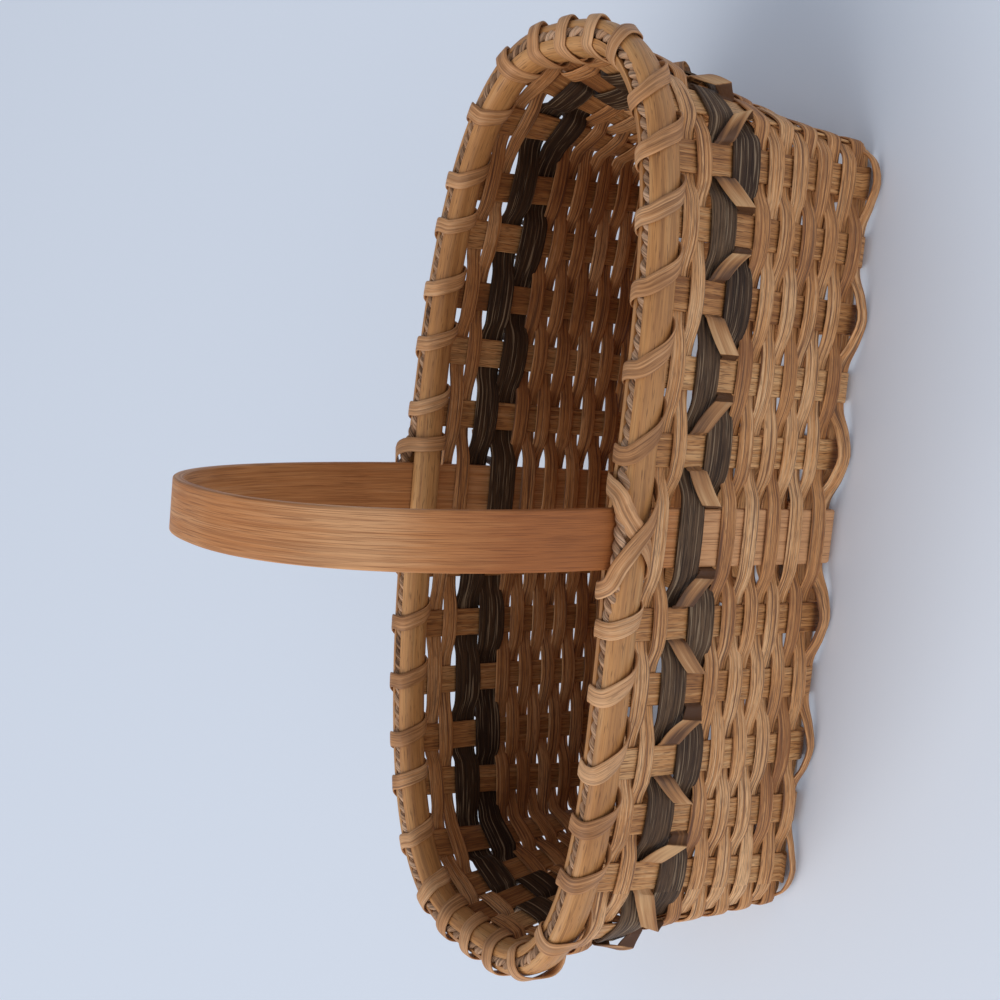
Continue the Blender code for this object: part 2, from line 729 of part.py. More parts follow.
def make_lashing(material, collection):
    """One strip round both rims, with one turn in each gap between uprights."""
    path = []
    legs = leg_numbers()
    bulge = leg_bulge()
    for k, here in enumerate(UPRIGHTS):
        after = UPRIGHTS[(k + 1) % COUNT]
        gap = gap_after(k, WALL_HEIGHT)
        whole = here.half_width + gap + after.half_width
        middle = here.half_width + gap / 2
        at_leg = k in legs
        to_leg = (k + 1) % COUNT in legs
        start, end, stop = 0.0, middle, whole
        if at_leg:
            start, end = -LEG_TURN, LEG_PASS
        if to_leg:
            end, stop = whole - LEG_PASS, whole - LEG_TURN
        out_profile = lash_profile(bulge if at_leg else 0.0, at_leg)
        in_profile = lash_profile(bulge if to_leg else 0.0, to_leg)
        lift = LASH_THICKNESS + FIT + LASH_CLEARANCE if at_leg else 0.0
        add_down(path, k, start, end, out_profile, lift)
        add_up(path, k, end, stop, in_profile)
    sections = lash_sections(path, True)
    return loft("lashing", sections, material, collection, True, ALL_SPANS)


def make_cross_lashing(name, k, material, collection):
    """The strand that crosses under the lashing outside a leg of the handle."""
    profile = lash_profile(leg_bulge(), True)
    crown_out, high, knee, low, crown_in = profile
    path = [(k, CROSS_PASS, -knee[0], knee[1] + CROSS_END_RISE / 2, "in"),
            (k, CROSS_PASS, -high[0], high[1], "in"),
            (k, LEG_TURN, crown_in[0], crown_in[1], Vector((0, 0, 1)))]
    add_down(path, k, LEG_TURN, -CROSS_PASS, profile, 0.0)
    path.append((k, -CROSS_PASS, -low[0], low[1], Vector((0, 0, -1))))
    path.append((k, -CROSS_PASS, -knee[0], knee[1], "in"))
    path.append((k, -CROSS_PASS, -knee[0], knee[1] + CROSS_END_RISE / 2, "in"))
    sections = lash_sections(path, False)
    return loft(name, sections, material, collection, False, ALL_SPANS)


def build():
    wipe_scene()
    collection = make_collection("harvest_basket")
    oak = make_material("oak_handle", (0.43, 0.19, 0.08), 0.45)
    stake = make_material("stake_reed", (0.48, 0.24, 0.10), 0.6)
    weaver = make_material("weaver_reed", (0.44, 0.23, 0.10), 0.6)
    dark = make_material("dyed_reed", (0.07, 0.05, 0.035), 0.65)
    rim = make_material("rim_reed", (0.50, 0.29, 0.13), 0.5)
    lash = make_material("lashing_reed", (0.40, 0.21, 0.09), 0.55)
    seagrass = make_material("seagrass", (0.38, 0.31, 0.22), 0.7)
    make_handle(oak, collection)
    make_cross_stakes(stake, collection)
    make_long_stakes(stake, collection)
    make_rows(weaver, dark, collection)
    make_curls(lash, collection)
    make_rim("outer_rim", 1, STAKE_REACH, rim, collection)
    make_rim("inner_rim", -1, INNER_RIM_REACH, rim, collection)
    make_cord(seagrass, collection)
    make_lashing(lash, collection)
    near_leg, far_leg = leg_numbers()
    make_cross_lashing("cross_lashing_near", near_leg, lash, collection)
    make_cross_lashing("cross_lashing_far", far_leg, lash, collection)


build()
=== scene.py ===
import math

import bmesh
import bpy
import numpy as np
from mathutils import Matrix, Vector


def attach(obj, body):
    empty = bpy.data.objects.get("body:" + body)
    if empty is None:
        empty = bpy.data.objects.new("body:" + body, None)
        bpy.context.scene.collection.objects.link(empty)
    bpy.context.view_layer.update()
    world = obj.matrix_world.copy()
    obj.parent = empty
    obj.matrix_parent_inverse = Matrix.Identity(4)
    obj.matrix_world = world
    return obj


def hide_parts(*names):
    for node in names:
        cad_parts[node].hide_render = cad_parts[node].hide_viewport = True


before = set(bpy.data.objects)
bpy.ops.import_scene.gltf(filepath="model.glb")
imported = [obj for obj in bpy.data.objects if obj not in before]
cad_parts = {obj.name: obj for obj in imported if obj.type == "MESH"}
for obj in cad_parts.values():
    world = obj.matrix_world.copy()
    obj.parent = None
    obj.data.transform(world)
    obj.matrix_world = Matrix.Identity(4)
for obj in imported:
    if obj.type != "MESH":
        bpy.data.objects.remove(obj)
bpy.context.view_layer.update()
millimetre = 0.001


def linear(hexText):
    values = [int(hexText[i:i + 2], 16) / 255 for i in (0, 2, 4)]
    return [v / 12.92 if v <= 0.04045 else ((v + 0.055) / 1.055) ** 2.4 for v in values]


def newObject(name, data):
    made = bpy.data.objects.new(name, data)
    bpy.context.scene.collection.objects.link(made)
    return made


# Camera, floor and light

view = dict(yaw=-0.1294, pitch=0.6366, roll=-0.0184, at=(0.07247, -0.51685, 0.54675),
            sensor=36.0, lens=45.67, clip=(0.01, 50.0))
camera = newObject("camera", bpy.data.cameras.new("camera"))
bpy.context.scene.camera = camera
camera.data.sensor_width = view["sensor"]
camera.data.lens = view["lens"]
camera.data.clip_start, camera.data.clip_end = view["clip"]
yaw, pitch, roll = view["yaw"], view["pitch"], view["roll"]
forward = Vector((math.sin(yaw) * math.cos(pitch), math.cos(yaw) * math.cos(pitch), -math.sin(pitch)))
level = Vector((math.cos(yaw), -math.sin(yaw), 0.0))
below = forward.cross(level)
right = level * math.cos(roll) + below * math.sin(roll)
down = below * math.cos(roll) - level * math.sin(roll)
turned = Matrix((down, right, -forward)).transposed().to_4x4()
camera.matrix_world = Matrix.Translation(view["at"]) @ turned


def fill(tree, made, values):
    # Each value is linked if it is a socket, set as a color if it is a hex text, or set as it is
    for key, value in values.items():
        if isinstance(value, bpy.types.NodeSocket):
            tree.links.new(value, made.inputs[key])
        elif isinstance(key, str) and hasattr(made, key):
            setattr(made, key, value)
        else:
            made.inputs[key].default_value = (*linear(value), 1.0) if isinstance(value, str) else value


def addNode(tree, kind, values):
    made = tree.nodes.new(kind)
    fill(tree, made, values)
    return made


def newMaterial(name):
    material = bpy.data.materials.new(name)
    material.use_nodes = True
    tree = material.node_tree
    return material, tree, tree.nodes["Principled BSDF"]


def ramp(tree, factor, stops):
    made = addNode(tree, "ShaderNodeValToRGB", {"Fac": factor})
    elements = made.color_ramp.elements
    while len(elements) < len(stops):
        elements.new(0.5)
    for element, (place, color) in zip(elements, stops):
        element.position = place
        element.color = (*linear(color), 1.0) if isinstance(color, str) else (color, color, color, 1.0)
    return made.outputs["Color"]


def mixColor(tree, blend, factor, a, b):
    values = {"data_type": "RGBA", "blend_type": blend, 0: factor, 6: a, 7: b}
    return addNode(tree, "ShaderNodeMix", values).outputs[2]


def maths(tree, operation, a, b):
    return addNode(tree, "ShaderNodeMath", {"operation": operation, 0: a, 1: b}).outputs[0]


def stretched(tree, vector, longMm, acrossMm, detail, rough):
    # Noise drawn out along a strip, its marks of this length and spacing in millimetres
    scale = (1000.0 / longMm, 1000.0 / acrossMm, 1.0)
    scaled = addNode(tree, "ShaderNodeMapping", {"Scale": scale, "Vector": vector}).outputs["Vector"]
    values = {"Scale": 1.0, "Detail": detail, "Roughness": rough, "Vector": scaled}
    return addNode(tree, "ShaderNodeTexNoise", values).outputs["Fac"]


studio = dict(floorHalf=4.0, floorColor="dee7f4", floorRough=0.6, skyColor="dfe6f2", skyStrength=0.58)
floorMaterial, floorTree, floorShader = newMaterial("paleTable")
fill(floorTree, floorShader, {"Base Color": studio["floorColor"], "Roughness": studio["floorRough"]})
floorMesh = bpy.data.meshes.new("floor")
corners = [(x * studio["floorHalf"], y * studio["floorHalf"], 0.0) for x, y in ((-1, -1), (1, -1), (1, 1), (-1, 1))]
floorMesh.from_pydata(corners, [], [(0, 1, 2, 3)])
floorMesh.materials.append(floorMaterial)
floor = newObject("floor", floorMesh)

world = bpy.data.worlds.new("studio")
bpy.context.scene.world = world
world.use_nodes = True
fill(world.node_tree, world.node_tree.nodes["Background"],
     {"Color": studio["skyColor"], "Strength": studio["skyStrength"]})
bpy.context.scene.view_settings.view_transform = "Standard"
bpy.context.scene.view_settings.look = "None"

lights = dict(
    window=dict(at=(-6.0, 0.7, 6.9), target=(0.0, 0.0, 0.1), size=7.8, power=510.0, color="fffaf4"),
    room=dict(at=(-0.40, -2.25, 0.52), target=(0.0, 0.0, 0.08), size=1.3, power=12.0, color="fff4e6"),
)


def areaLight(name, at, target, size, power, color):
    light = bpy.data.lights.new(name, "AREA")
    light.size = size
    light.energy = power
    light.color = linear(color)
    made = newObject(name, light)
    made.location = at
    made.rotation_euler = (Vector(target) - Vector(at)).to_track_quat("-Z", "Y").to_euler()


for name, light in lights.items():
    areaLight(name, **light)
print("camera, floor and light are set")


# The wall that all strips follow

wall = dict(
    baseLength=0.205, baseWidth=0.0843, rimLength=0.2335, rimWidth=0.0885,
    height=0.160, baseSquare=14.0, rimSquare=3.15, rounding=0.6,
    crossPitch=0.0353, firstExtra=0.0082, cornerLean=0.08, endPitch=0.0232, endFan=-0.08,
    stakeWidth=0.0159, stakeThickness=0.0014, handleWidth=0.0286, handleThickness=0.0050,
    reachOut=0.0015, reachIn=-0.0032,
)
crossCount = 5
endCount = 3
# How far the top of each stake leans along the wall, in millimetres, from the left to the right
leaning = dict(near=(2.6, 4.6, 1.8, 5.6, 2.4, 0.0, -2.4, 0.0, 3.0, 5.0, 6.5),
               far=(0.0, -5.0, -2.6, -2.0, -0.6, 0.0, 0.5, 2.2, 0.0, 2.8, -0.8))


def wallSection(z):
    rise = min(max(z / wall["height"], 0.0), 1.0)
    length = wall["baseLength"] + (wall["rimLength"] - wall["baseLength"]) * rise
    width = wall["baseWidth"] + (wall["rimWidth"] - wall["baseWidth"]) * rise
    fall = (wall["rimSquare"] / wall["baseSquare"]) ** (rise ** wall["rounding"])
    return length, width, wall["baseSquare"] * fall


def wallReach(share, power):
    return (1.0 - min(abs(share), 1.0) ** power) ** (1.0 / power)


def crossX(step, z):
    if step == 0:
        return 0.0
    away = abs(step) * wall["crossPitch"] + wall["firstExtra"]
    return math.copysign(away * (1.0 - wall["cornerLean"] * (step / crossCount) ** 2 * z / wall["height"]), step)


def endY(step, z):
    return step * wall["endPitch"] * (1.0 + wall["endFan"] * z / wall["height"])


class Upright:
    def __init__(self, side, step):
        self.side = side
        self.step = step
        self.isLeg = side in ("near", "far") and step == 0
        self.half = (wall["handleWidth"] if self.isLeg else wall["stakeWidth"]) / 2
        self.thick = wall["handleThickness"] if self.isLeg else wall["stakeThickness"]
        square = {"near": (0, -1, 0), "far": (0, 1, 0), "right": (1, 0, 0), "left": (-1, 0, 0)}
        self.square = Vector(square[side])
        top = self.centre(wall["height"])
        length, width, power = wallSection(wall["height"])
        self.turned = Vector((math.copysign(abs(top.x / length) ** (power - 1) / length, top.x),
                              math.copysign(abs(top.y / width) ** (power - 1) / width, top.y), 0.0)).normalized()

    def centre(self, z):
        length, width, power = wallSection(z)
        if self.side in ("near", "far"):
            lean = leaning[self.side][self.step + crossCount] * millimetre
            x = crossX(self.step, z) + lean * z / wall["height"]
            y = width * wallReach(x / length, power)
            return Vector((x, -y if self.side == "near" else y, z))
        y = endY(self.step, z)
        x = length * wallReach(y / width, power)
        return Vector((x if self.side == "right" else -x, y, z))

    def outward(self, z):
        return self.square.lerp(self.turned, min(max(z / wall["height"], 0.0), 1.0)).normalized()


def alongOf(out):
    return Vector((-out.y, out.x, 0.0))


# The walls in the order of the way round, with their last stake from the middle and the way their steps run
walls = (("near", crossCount, 1), ("right", endCount, 1), ("far", crossCount, -1), ("left", endCount, -1))
uprights = [Upright(side, way * step) for side, last, way in walls for step in range(-last, last + 1)]
count = len(uprights)
legs = [k for k, upright in enumerate(uprights) if upright.isLeg]


def gapEnds(k, z, reach):
    here, after = uprights[k % count], uprights[(k + 1) % count]
    a, b = here.outward(z), after.outward(z)
    start = here.centre(z) + alongOf(a) * (here.half + reach)
    end = after.centre(z) - alongOf(b) * (after.half + reach)
    return start, end, a, b


def gapAfter(k, z, reach=wall["reachOut"]):
    start, end, a, b = gapEnds(k, z, reach)
    return (end - start).length + 2 * reach


def wallPoint(k, along, out, z, reach=wall["reachOut"]):
    # A place beside upright k: that far along the wall, and that far out of it
    here, after = uprights[k % count], uprights[(k + 1) % count]
    flat = here.half + reach
    if along < -flat:
        before = uprights[(k - 1) % count]
        return wallPoint(k - 1, along + before.half + gapAfter(k - 1, z, reach) + here.half, out, z, reach)
    if along <= flat:
        face = here.outward(z)
        at = here.centre(z)
        at.z = z
        return at + alongOf(face) * along + face * out
    start, end, a, b = gapEnds(k, z, reach)
    share = (along - flat) / max((end - start).length, 1e-6)
    if share > 1.0:
        step = here.half + (end - start).length + 2 * reach + after.half
        return wallPoint(k + 1, along - step, out, z, reach)
    at = start.lerp(end, share) + a.lerp(b, share).normalized() * out
    at.z = z
    return at


def gapsRound(z, reach=wall["reachOut"]):
    # Each upright with its number, the next one, the gap between them and the way from middle to middle
    for k, here in enumerate(uprights):
        after = uprights[(k + 1) % count]
        gap = gapAfter(k, z, reach)
        yield k, here, after, gap, here.half + gap + after.half


def eased(share):
    # From 0 to 1 with a level start and end
    return share * share * (3 - 2 * share)


def smoothed(values, width, closed=True):
    # Evens out a line of points, so that no bend shows as a kink
    values = np.asarray(values, float)
    size = int(math.ceil(width * 3))
    weights = np.exp(-0.5 * (np.arange(-size, size + 1) / width) ** 2)
    weights /= weights.sum()
    result = np.zeros_like(values)
    for offset, weight in zip(range(-size, size + 1), weights):
        index = np.arange(len(values)) + offset
        result += weight * values[index % len(values) if closed else np.clip(index, 0, len(values) - 1)]
    return result


def waver(rng, size, wavesAndAmount, closed=True):
    # A slow random line of so many waves, between about -amount and amount, that meets its own start
    waves, amount = wavesAndAmount
    turn = np.linspace(0.0, 2 * math.pi, size, endpoint=not closed)
    line = np.zeros(size)
    for wave in range(1, waves + 1):
        line += rng.normal() * np.sin(wave * turn + rng.uniform(0, 2 * math.pi)) / math.sqrt(waves)
    return line * amount


def unit(vectors):
    return vectors / np.maximum(np.linalg.norm(vectors, axis=-1, keepdims=True), 1e-12)


def runOf(points, closed):
    if closed:
        return unit(np.roll(points, -1, axis=0) - np.roll(points, 1, axis=0))
    return unit(np.gradient(points, axis=0))


def squared(direction, run):
    # The direction made square to the run of a strip
    return unit(direction - run * np.sum(direction * run, axis=1, keepdims=True))


def bandOf(lows, highs):
    # The middle of a closed band between two edges, with its directions across and through
    centres = (lows + highs) / 2
    up = unit(highs - lows)
    return centres, up, unit(np.cross(runOf(centres, True), up))


def lengthsOf(points):
    # The way along a closed line to each of its points and back to the first
    steps = np.linalg.norm(np.roll(points, -1, axis=0) - points, axis=1)
    return np.concatenate(([0.0], np.cumsum(steps)))


def resampled(points, spacing):
    # The closed line with even spacing, and its length
    closedPoints, lengths = np.vstack((points, points[:1])), lengthsOf(points)
    places = np.linspace(0.0, lengths[-1], round(lengths[-1] / spacing), endpoint=False)
    return np.stack([np.interp(places, lengths, closedPoints[:, n]) for n in range(3)], axis=-1), lengths[-1]


# How the woven wall has settled: the rows ride high at the handle, the rims droop to both ends, most at the
# near right corner, and the right end bows out
sag = dict(
    rise=0.0042, peak=0.025, span=0.235, foot=0.0045, footBlend=0.008,
    leftDrop=0.0063, rightDrop=0.0088, twist=0.0020, power=1.5, dropFrom=0.095, dropTo=0.140,
    bow=0.0060, bowAt=0.022, bowReach=0.085, bowLimit=1.1, bowPower=5, bowRise=1.5,
)


def settle(points):
    x, y, z = points[..., 0], points[..., 1], points[..., 2]
    rise = sag["rise"] * np.cos(math.pi * (x - sag["peak"]) / sag["span"])
    rise = rise * np.clip((z - sag["foot"]) / sag["footBlend"], 0.0, 1.0)
    drop = np.where(x < 0, sag["leftDrop"], sag["rightDrop"] - sag["twist"] * y / wall["rimWidth"])
    drop = drop * (np.abs(x) / wall["rimLength"]) ** sag["power"]
    share = eased(np.clip((z - sag["dropFrom"]) / (sag["dropTo"] - sag["dropFrom"]), 0.0, 1.0))
    bow = np.clip(1.0 - ((y - sag["bowAt"]) / sag["bowReach"]) ** 2, 0.0, 1.0)
    bow = sag["bow"] * bow * np.clip(x / wall["rimLength"], 0.0, sag["bowLimit"]) ** sag["bowPower"]
    moved = points.copy()
    moved[..., 0] = x + bow * np.clip(z / wall["height"], 0.0, 1.0) ** sag["bowRise"]
    moved[..., 2] = z + rise * (1 - share) - drop * share
    return moved


# Each strip starts at another place of the wood's pattern, by its seed
strip = dict(longShift=3.173, longRoom=11.0, acrossShift=0.6131, acrossRoom=3.0, merge=1e-7, sharpAngle=55.0)


def sweep(name, sections, material, closed, seed, tone=0.5, toneLine=None, settled=True, innerStainAndShadeSide=None):
    # A flat grid is wrapped round the sections of a strip, its seams are merged and its ends closed
    sections = np.asarray(sections, float)
    if settled:
        sections = settle(sections)
    rings, sides = sections.shape[:2]
    spans = rings if closed else rings - 1
    lengths = lengthsOf(sections.mean(axis=1)) + seed * strip["longShift"] % strip["longRoom"]
    around = lengthsOf(sections[0]) + seed * strip["acrossShift"] % strip["acrossRoom"]
    tones = np.full(rings, tone) if toneLine is None else tone + np.asarray(toneLine)
    build = bmesh.new()
    bmesh.ops.create_grid(build, x_segments=sides, y_segments=spans, size=0.5)
    uvLayer = build.loops.layers.uv.new("strip")
    toneLayer = build.verts.layers.float.new("tone")
    innerStainAndShadeLayer = build.verts.layers.float.new("innerStainAndShade")
    places = []
    seams = []
    for vert in build.verts:
        column, row = round((vert.co.x + 0.5) * sides), round((vert.co.y + 0.5) * spans)
        places.append((lengths[row], around[column]))
        vert.co = sections[row % rings][column % sides]
        vert[toneLayer] = tones[row % rings]
        # The pith weight masks a darker tint that is partly stain and partly painted shade
        vert[innerStainAndShadeLayer] = 0.0 if innerStainAndShadeSide is None else innerStainAndShadeSide[column % sides]
        if column in (0, sides) or (closed and row in (0, spans)):
            seams.append(vert)
    build.verts.index_update()
    for face in build.faces:
        face.smooth = True
        for loop in face.loops:
            loop[uvLayer].uv = places[loop.vert.index]
    bmesh.ops.remove_doubles(build, verts=seams, dist=strip["merge"])
    if not closed:
        openEdges = [edge for edge in build.edges if edge.is_boundary]
        for face in bmesh.ops.holes_fill(build, edges=openEdges, sides=0)["faces"]:
            for loop in face.loops:
                # A cut end takes its grain from the rings beside it
                beside = next(other for other in loop.vert.link_loops if other.face is not face)
                loop[uvLayer].uv = (lengths[0], beside[uvLayer].uv.y)
    bmesh.ops.recalc_face_normals(build, faces=build.faces)
    mesh = bpy.data.meshes.new(name)
    build.to_mesh(mesh)
    build.free()
    mesh.materials.append(material)
    mesh.set_sharp_from_angle(angle=math.radians(strip["sharpAngle"]))
    return newObject(name, mesh)


def spread(centres, across, through, profile, widths=1.0, depths=1.0):
    # Puts a profile of places across and through a strip at each centre
    profile = np.asarray(profile, float)
    widths = np.broadcast_to(widths, len(centres))
    depths = np.broadcast_to(depths, len(centres))
    a = profile[None, :, 0, None] * widths[:, None, None]
    b = profile[None, :, 1, None] * depths[:, None, None]
    return centres[:, None, :] + across[:, None, :] * a + through[:, None, :] * b


flatOval = [(-0.5, -0.08), (-0.475, 0.2), (-0.38, 0.4), (-0.2, 0.49), (0.0, 0.5), (0.2, 0.49), (0.38, 0.4),
            (0.475, 0.2), (0.5, -0.08), (0.47, -0.38), (0.4, -0.5), (0.0, -0.5), (-0.4, -0.5), (-0.47, -0.38)]
flatReed = [(-0.5, -0.3), (-0.5, 0.25), (-0.485, 0.44), (-0.46, 0.5), (-0.2, 0.5), (0.0, 0.5), (0.2, 0.5),
            (0.46, 0.5), (0.485, 0.44), (0.5, 0.25), (0.5, -0.3), (0.48, -0.46), (0.45, -0.5), (0.0, -0.5),
            (-0.45, -0.5), (-0.48, -0.46)]
innerStainAndShadeSlope = 1.6


def innerStainAndShadeOf(profile, inner=-1):
    # One on the side of a section that faces into the basket, none on the other: the weight of a darker tint there
    # that is partly stain and partly painted shade
    return [min(max(0.5 + innerStainAndShadeSlope * inner * place[1], 0.0), 1.0) for place in profile]


# Materials of split wood

# What all of them share, with lengths and spacings in millimetres
grain = dict(
    streakLength=90.0, fibreLength=22.0, fibreEvery=0.45, splinterLength=45.0, splinterEvery=1.3,
    driftScale=24.0, streakShare=0.68, driftShare=0.32, toneShare=0.55, splinterShare=0.6,
    colorPlaces=(0.33, 0.50, 0.67), fibreStops=((0.32, 0.62), (0.50, 0.98), (0.75, 1.16)),
    lineStops=((0.565, 0.0), (0.615, 1.0)), splinterStops=((0.58, 0.0), (0.63, 1.0)), poreBlend=0.09,
    fibreRough=0.25, fibreHeight=0.5, maskHeight=0.8, bumpDistance=0.0006,
)
# The pith tint darkens the side facing into the basket: partly stain, partly painted shade
usual = dict(lineLength=90.0, poreLength=9.0, poreFrom=0.54, fibreDepth=0.8, contrast=1.0, shine=0.4,
             innerStainAndShadeTint="eadfd3")


def woodStrip(name, look):
    # Streaks, lines and pores run along the strip, each drawn at its own size in millimetres
    look = {**usual, **look}
    material, tree, shader = newMaterial(name)

    def plus(a, b):
        return maths(tree, "ADD", a, b)

    def times(a, b):
        return maths(tree, "MULTIPLY", a, b)

    uv = addNode(tree, "ShaderNodeUVMap", {"uv_map": "strip"}).outputs["UV"]
    tone = addNode(tree, "ShaderNodeAttribute", {"attribute_name": "tone"}).outputs["Fac"]
    innerStainAndShade = addNode(tree, "ShaderNodeAttribute", {"attribute_name": "innerStainAndShade"}).outputs["Fac"]
    streaks = stretched(tree, uv, grain["streakLength"], look["streakEvery"], 3.0, 0.6)
    fibres = stretched(tree, uv, grain["fibreLength"], grain["fibreEvery"], 2.0, 0.6)
    lines = stretched(tree, uv, look["lineLength"], look["lineEvery"], 2.0, 0.5)
    pores = stretched(tree, uv, look["poreLength"], look["poreEvery"], 1.0, 0.5)
    place = addNode(tree, "ShaderNodeTexCoord", {}).outputs["Object"]
    drift = addNode(tree, "ShaderNodeTexNoise", {"Scale": grain["driftScale"], "Detail": 3.0, "Vector": place})
    mixed = plus(times(streaks, grain["streakShare"]), times(drift.outputs["Fac"], grain["driftShare"]))
    mixed = plus(times(mixed, look["contrast"]), 0.5 * (1.0 - look["contrast"]))
    mixed = plus(mixed, times(maths(tree, "SUBTRACT", tone, 0.5), grain["toneShare"]))
    *shades, dark = look["colors"]
    color = ramp(tree, mixed, list(zip(grain["colorPlaces"], shades)))
    color = mixColor(tree, "MULTIPLY", look["fibreDepth"], color, ramp(tree, fibres, grain["fibreStops"]))
    # The pith side, which faces into the basket, is tinted darker: partly more of the brown stain, partly painted
    # shade of the basket's inside
    color = mixColor(tree, "MULTIPLY", innerStainAndShade, color, look["innerStainAndShadeTint"])
    poreStops = ((look["poreFrom"], 0.0), (look["poreFrom"] + grain["poreBlend"], 1.0))
    masks = maths(tree, "MAXIMUM", times(ramp(tree, lines, grain["lineStops"]), look["lineDepth"]),
                  times(ramp(tree, pores, poreStops), look["poreDepth"]))
    color = mixColor(tree, "MIX", masks, color, dark)
    if "splinter" in look:
        frayed = stretched(tree, uv, grain["splinterLength"], grain["splinterEvery"], 2.0, 0.6)
        frayed = times(ramp(tree, frayed, grain["splinterStops"]), grain["splinterShare"])
        color = mixColor(tree, "MIX", frayed, color, look["splinter"])
    rough = plus(times(fibres, grain["fibreRough"]), look["rough"])
    height = maths(tree, "SUBTRACT", plus(times(fibres, grain["fibreHeight"]), streaks),
                   times(masks, grain["maskHeight"]))
    bump = addNode(tree, "ShaderNodeBump", {"Strength": look["bump"], "Distance": grain["bumpDistance"],
                                            "Height": height})
    fill(tree, shader, {"Base Color": color, "Roughness": rough, "Specular IOR Level": look["shine"],
                        "Normal": bump.outputs["Normal"]})
    return material


# Oval rattan reed, split and dyed or bare: a few long dark lines and short pores on a satin tan
weaverReed = woodStrip("weaverReed", dict(
    colors=("905a30", "cb8f57", "e8b988", "573320"), streakEvery=1.3, lineEvery=1.2, lineLength=70.0,
    lineDepth=0.78, poreEvery=0.6, poreLength=7.0, poreDepth=0.45, fibreDepth=1.0, rough=0.46, bump=0.45))
# Flat splint cut from the pith side: close dark dashes of open pores all along it
stakeReed = woodStrip("stakeReed", dict(
    colors=("8f5b30", "bf8650", "dcab76", "5a341b"), streakEvery=2.2, lineEvery=2.0, lineDepth=0.30,
    poreEvery=0.62, poreDepth=0.62, rough=0.46, bump=0.5))
# Half-oval rattan bent round the rim: smooth skin with a soft sheen and a few long checks
rimReed = woodStrip("rimReed", dict(
    colors=("9b6739", "bb844e", "cb9a64", "5e3a1e"), contrast=0.75, streakEvery=4.5, lineEvery=3.0,
    lineDepth=0.26, poreEvery=0.8, poreDepth=0.60, poreFrom=0.61, fibreDepth=0.6, rough=0.36, bump=0.3))
# Thin cane lashing: pale edges and three to five long grooves
lashReed = woodStrip("lashReed", dict(
    colors=("8f5f36", "c08a5a", "d8a87a", "5c3a20"), streakEvery=1.7, lineEvery=1.5, lineDepth=0.42,
    poreEvery=0.7, poreLength=8.0, poreDepth=0.30, rough=0.42, bump=0.35))
# The same cane shaved smooth for the curls, satin and pale
# Its deep colour shows mostly as the painted shade on the curls' return facets
curlReed = woodStrip("curlReed", dict(
    colors=("5c3b22", "a87648", "cda273", "5f3d24"), streakEvery=5.0, lineEvery=2.6, lineLength=60.0,
    lineDepth=0.12, poreEvery=0.9, poreLength=10.0, poreDepth=0.1, fibreDepth=0.4, rough=0.38, bump=0.4))
# Steam-bent oak: fine pores in long rows and slow bands of colour
handleOak = woodStrip("handleOak", dict(
    colors=("a56435", "be7f4c", "d59f70", "7a4524"), contrast=0.55, streakEvery=2.6, lineEvery=2.2,
    lineLength=120.0, lineDepth=0.28, poreEvery=0.5, poreLength=30.0, poreFrom=0.56, poreDepth=0.55,
    fibreDepth=0.5, shine=0.28, rough=0.42, bump=0.5))
# Reed dyed dark brown, with paler splinters where the dye has not taken
# Its darker pith tint is partly stain and partly painted shade on the side facing into the basket
dyedReed = woodStrip("dyedReed", dict(
    colors=("38261a", "58412e", "775d44", "20150e"), splinter="a88f72", innerStainAndShadeTint="b3a698", shine=0.22,
    streakEvery=1.6, lineEvery=1.5, lineLength=60.0, lineDepth=0.6, poreEvery=0.9, poreDepth=0.45,
    fibreDepth=0.9, rough=0.5, bump=0.7))
# Seagrass twisted of two plies: matt grass fibres, brown in the folds and straw on the crowns
seagrass = woodStrip("seagrass", dict(
    colors=("64452f", "b78c68", "dcb594", "3c2a1b"), streakEvery=1.4, lineEvery=1.2, lineLength=25.0,
    lineDepth=0.6, poreEvery=0.8, poreLength=7.0, poreDepth=0.35, fibreDepth=0.9, rough=0.58, bump=0.9))
print("materials are made")


# Weavers

rows = dict(
    low=10, dark=2, upper=2, bottom=0.0044, pitch=0.0084, lowSink=(0.0, 0.0013, 0.0007),
    darkBottom=0.0883, darkPitch=0.0162, upperGap=0.0015, upperPitch=0.0086,
    crown=0.0007, clear=0.0001, narrow=0.985,
    firstLoose=0.0036, firstSink=0.0030, firstTilt=0.0012, looseWithin=0.185, endLoose=0.25,
    looseShares=(0.55, 0.45), sinkShares=(0.75, 0.25), topSink=1.3,
    stakeSamples=5, gapSamples=7, smooth=0.9, swellSmooth=1.5,
    seed=100, jitter=0.00018, rise=(9, 0.00022), ripple=(40, 0.00028), sway=(14, 0.00008),
    widthWaver=(12, 0.012), depthWaver=(10, 0.04), toneWaver=(6, 0.10), toneSpread=0.06,
)
# The dyed rows are wide where they cross an upright, crowd each other narrower between and leave the curls room
rowKinds = dict(
    weaver=dict(name="weaverRow", material=weaverReed, profile=flatOval, width=0.0096, thick=0.0015,
                margin=0.0009, room=0.0, swell=0.11, swellPower=2),
    dark=dict(name="darkRow", material=dyedReed, profile=flatReed, width=0.0157, thick=0.0013,
              margin=0.0016, room=0.0011, swell=0.19, swellPower=1),
)


def rowPlan():
    # The height of each row's lower edge, and its kind
    plan = []
    for i in range(rows["low"]):
        sink = rows["lowSink"][i] if i < len(rows["lowSink"]) else 0.0
        plan.append((rows["bottom"] + i * rows["pitch"] - sink, "weaver"))
    bottom = rows["darkBottom"]
    for i in range(rows["dark"]):
        plan.append((bottom, "dark"))
        bottom += rows["darkPitch"]
    bottom += rows["upperGap"]
    for i in range(rows["upper"]):
        plan.append((bottom + i * rows["upperPitch"], "weaver"))
    return plan


def looseness(upright):
    # The lowest row sags off the stakes of the long walls, hardly at the ends, and is tight over the handle
    if upright.isLeg:
        return 0.0
    return 1.0 if abs(upright.centre(0.0).x) < rows["looseWithin"] else rows["endLoose"]


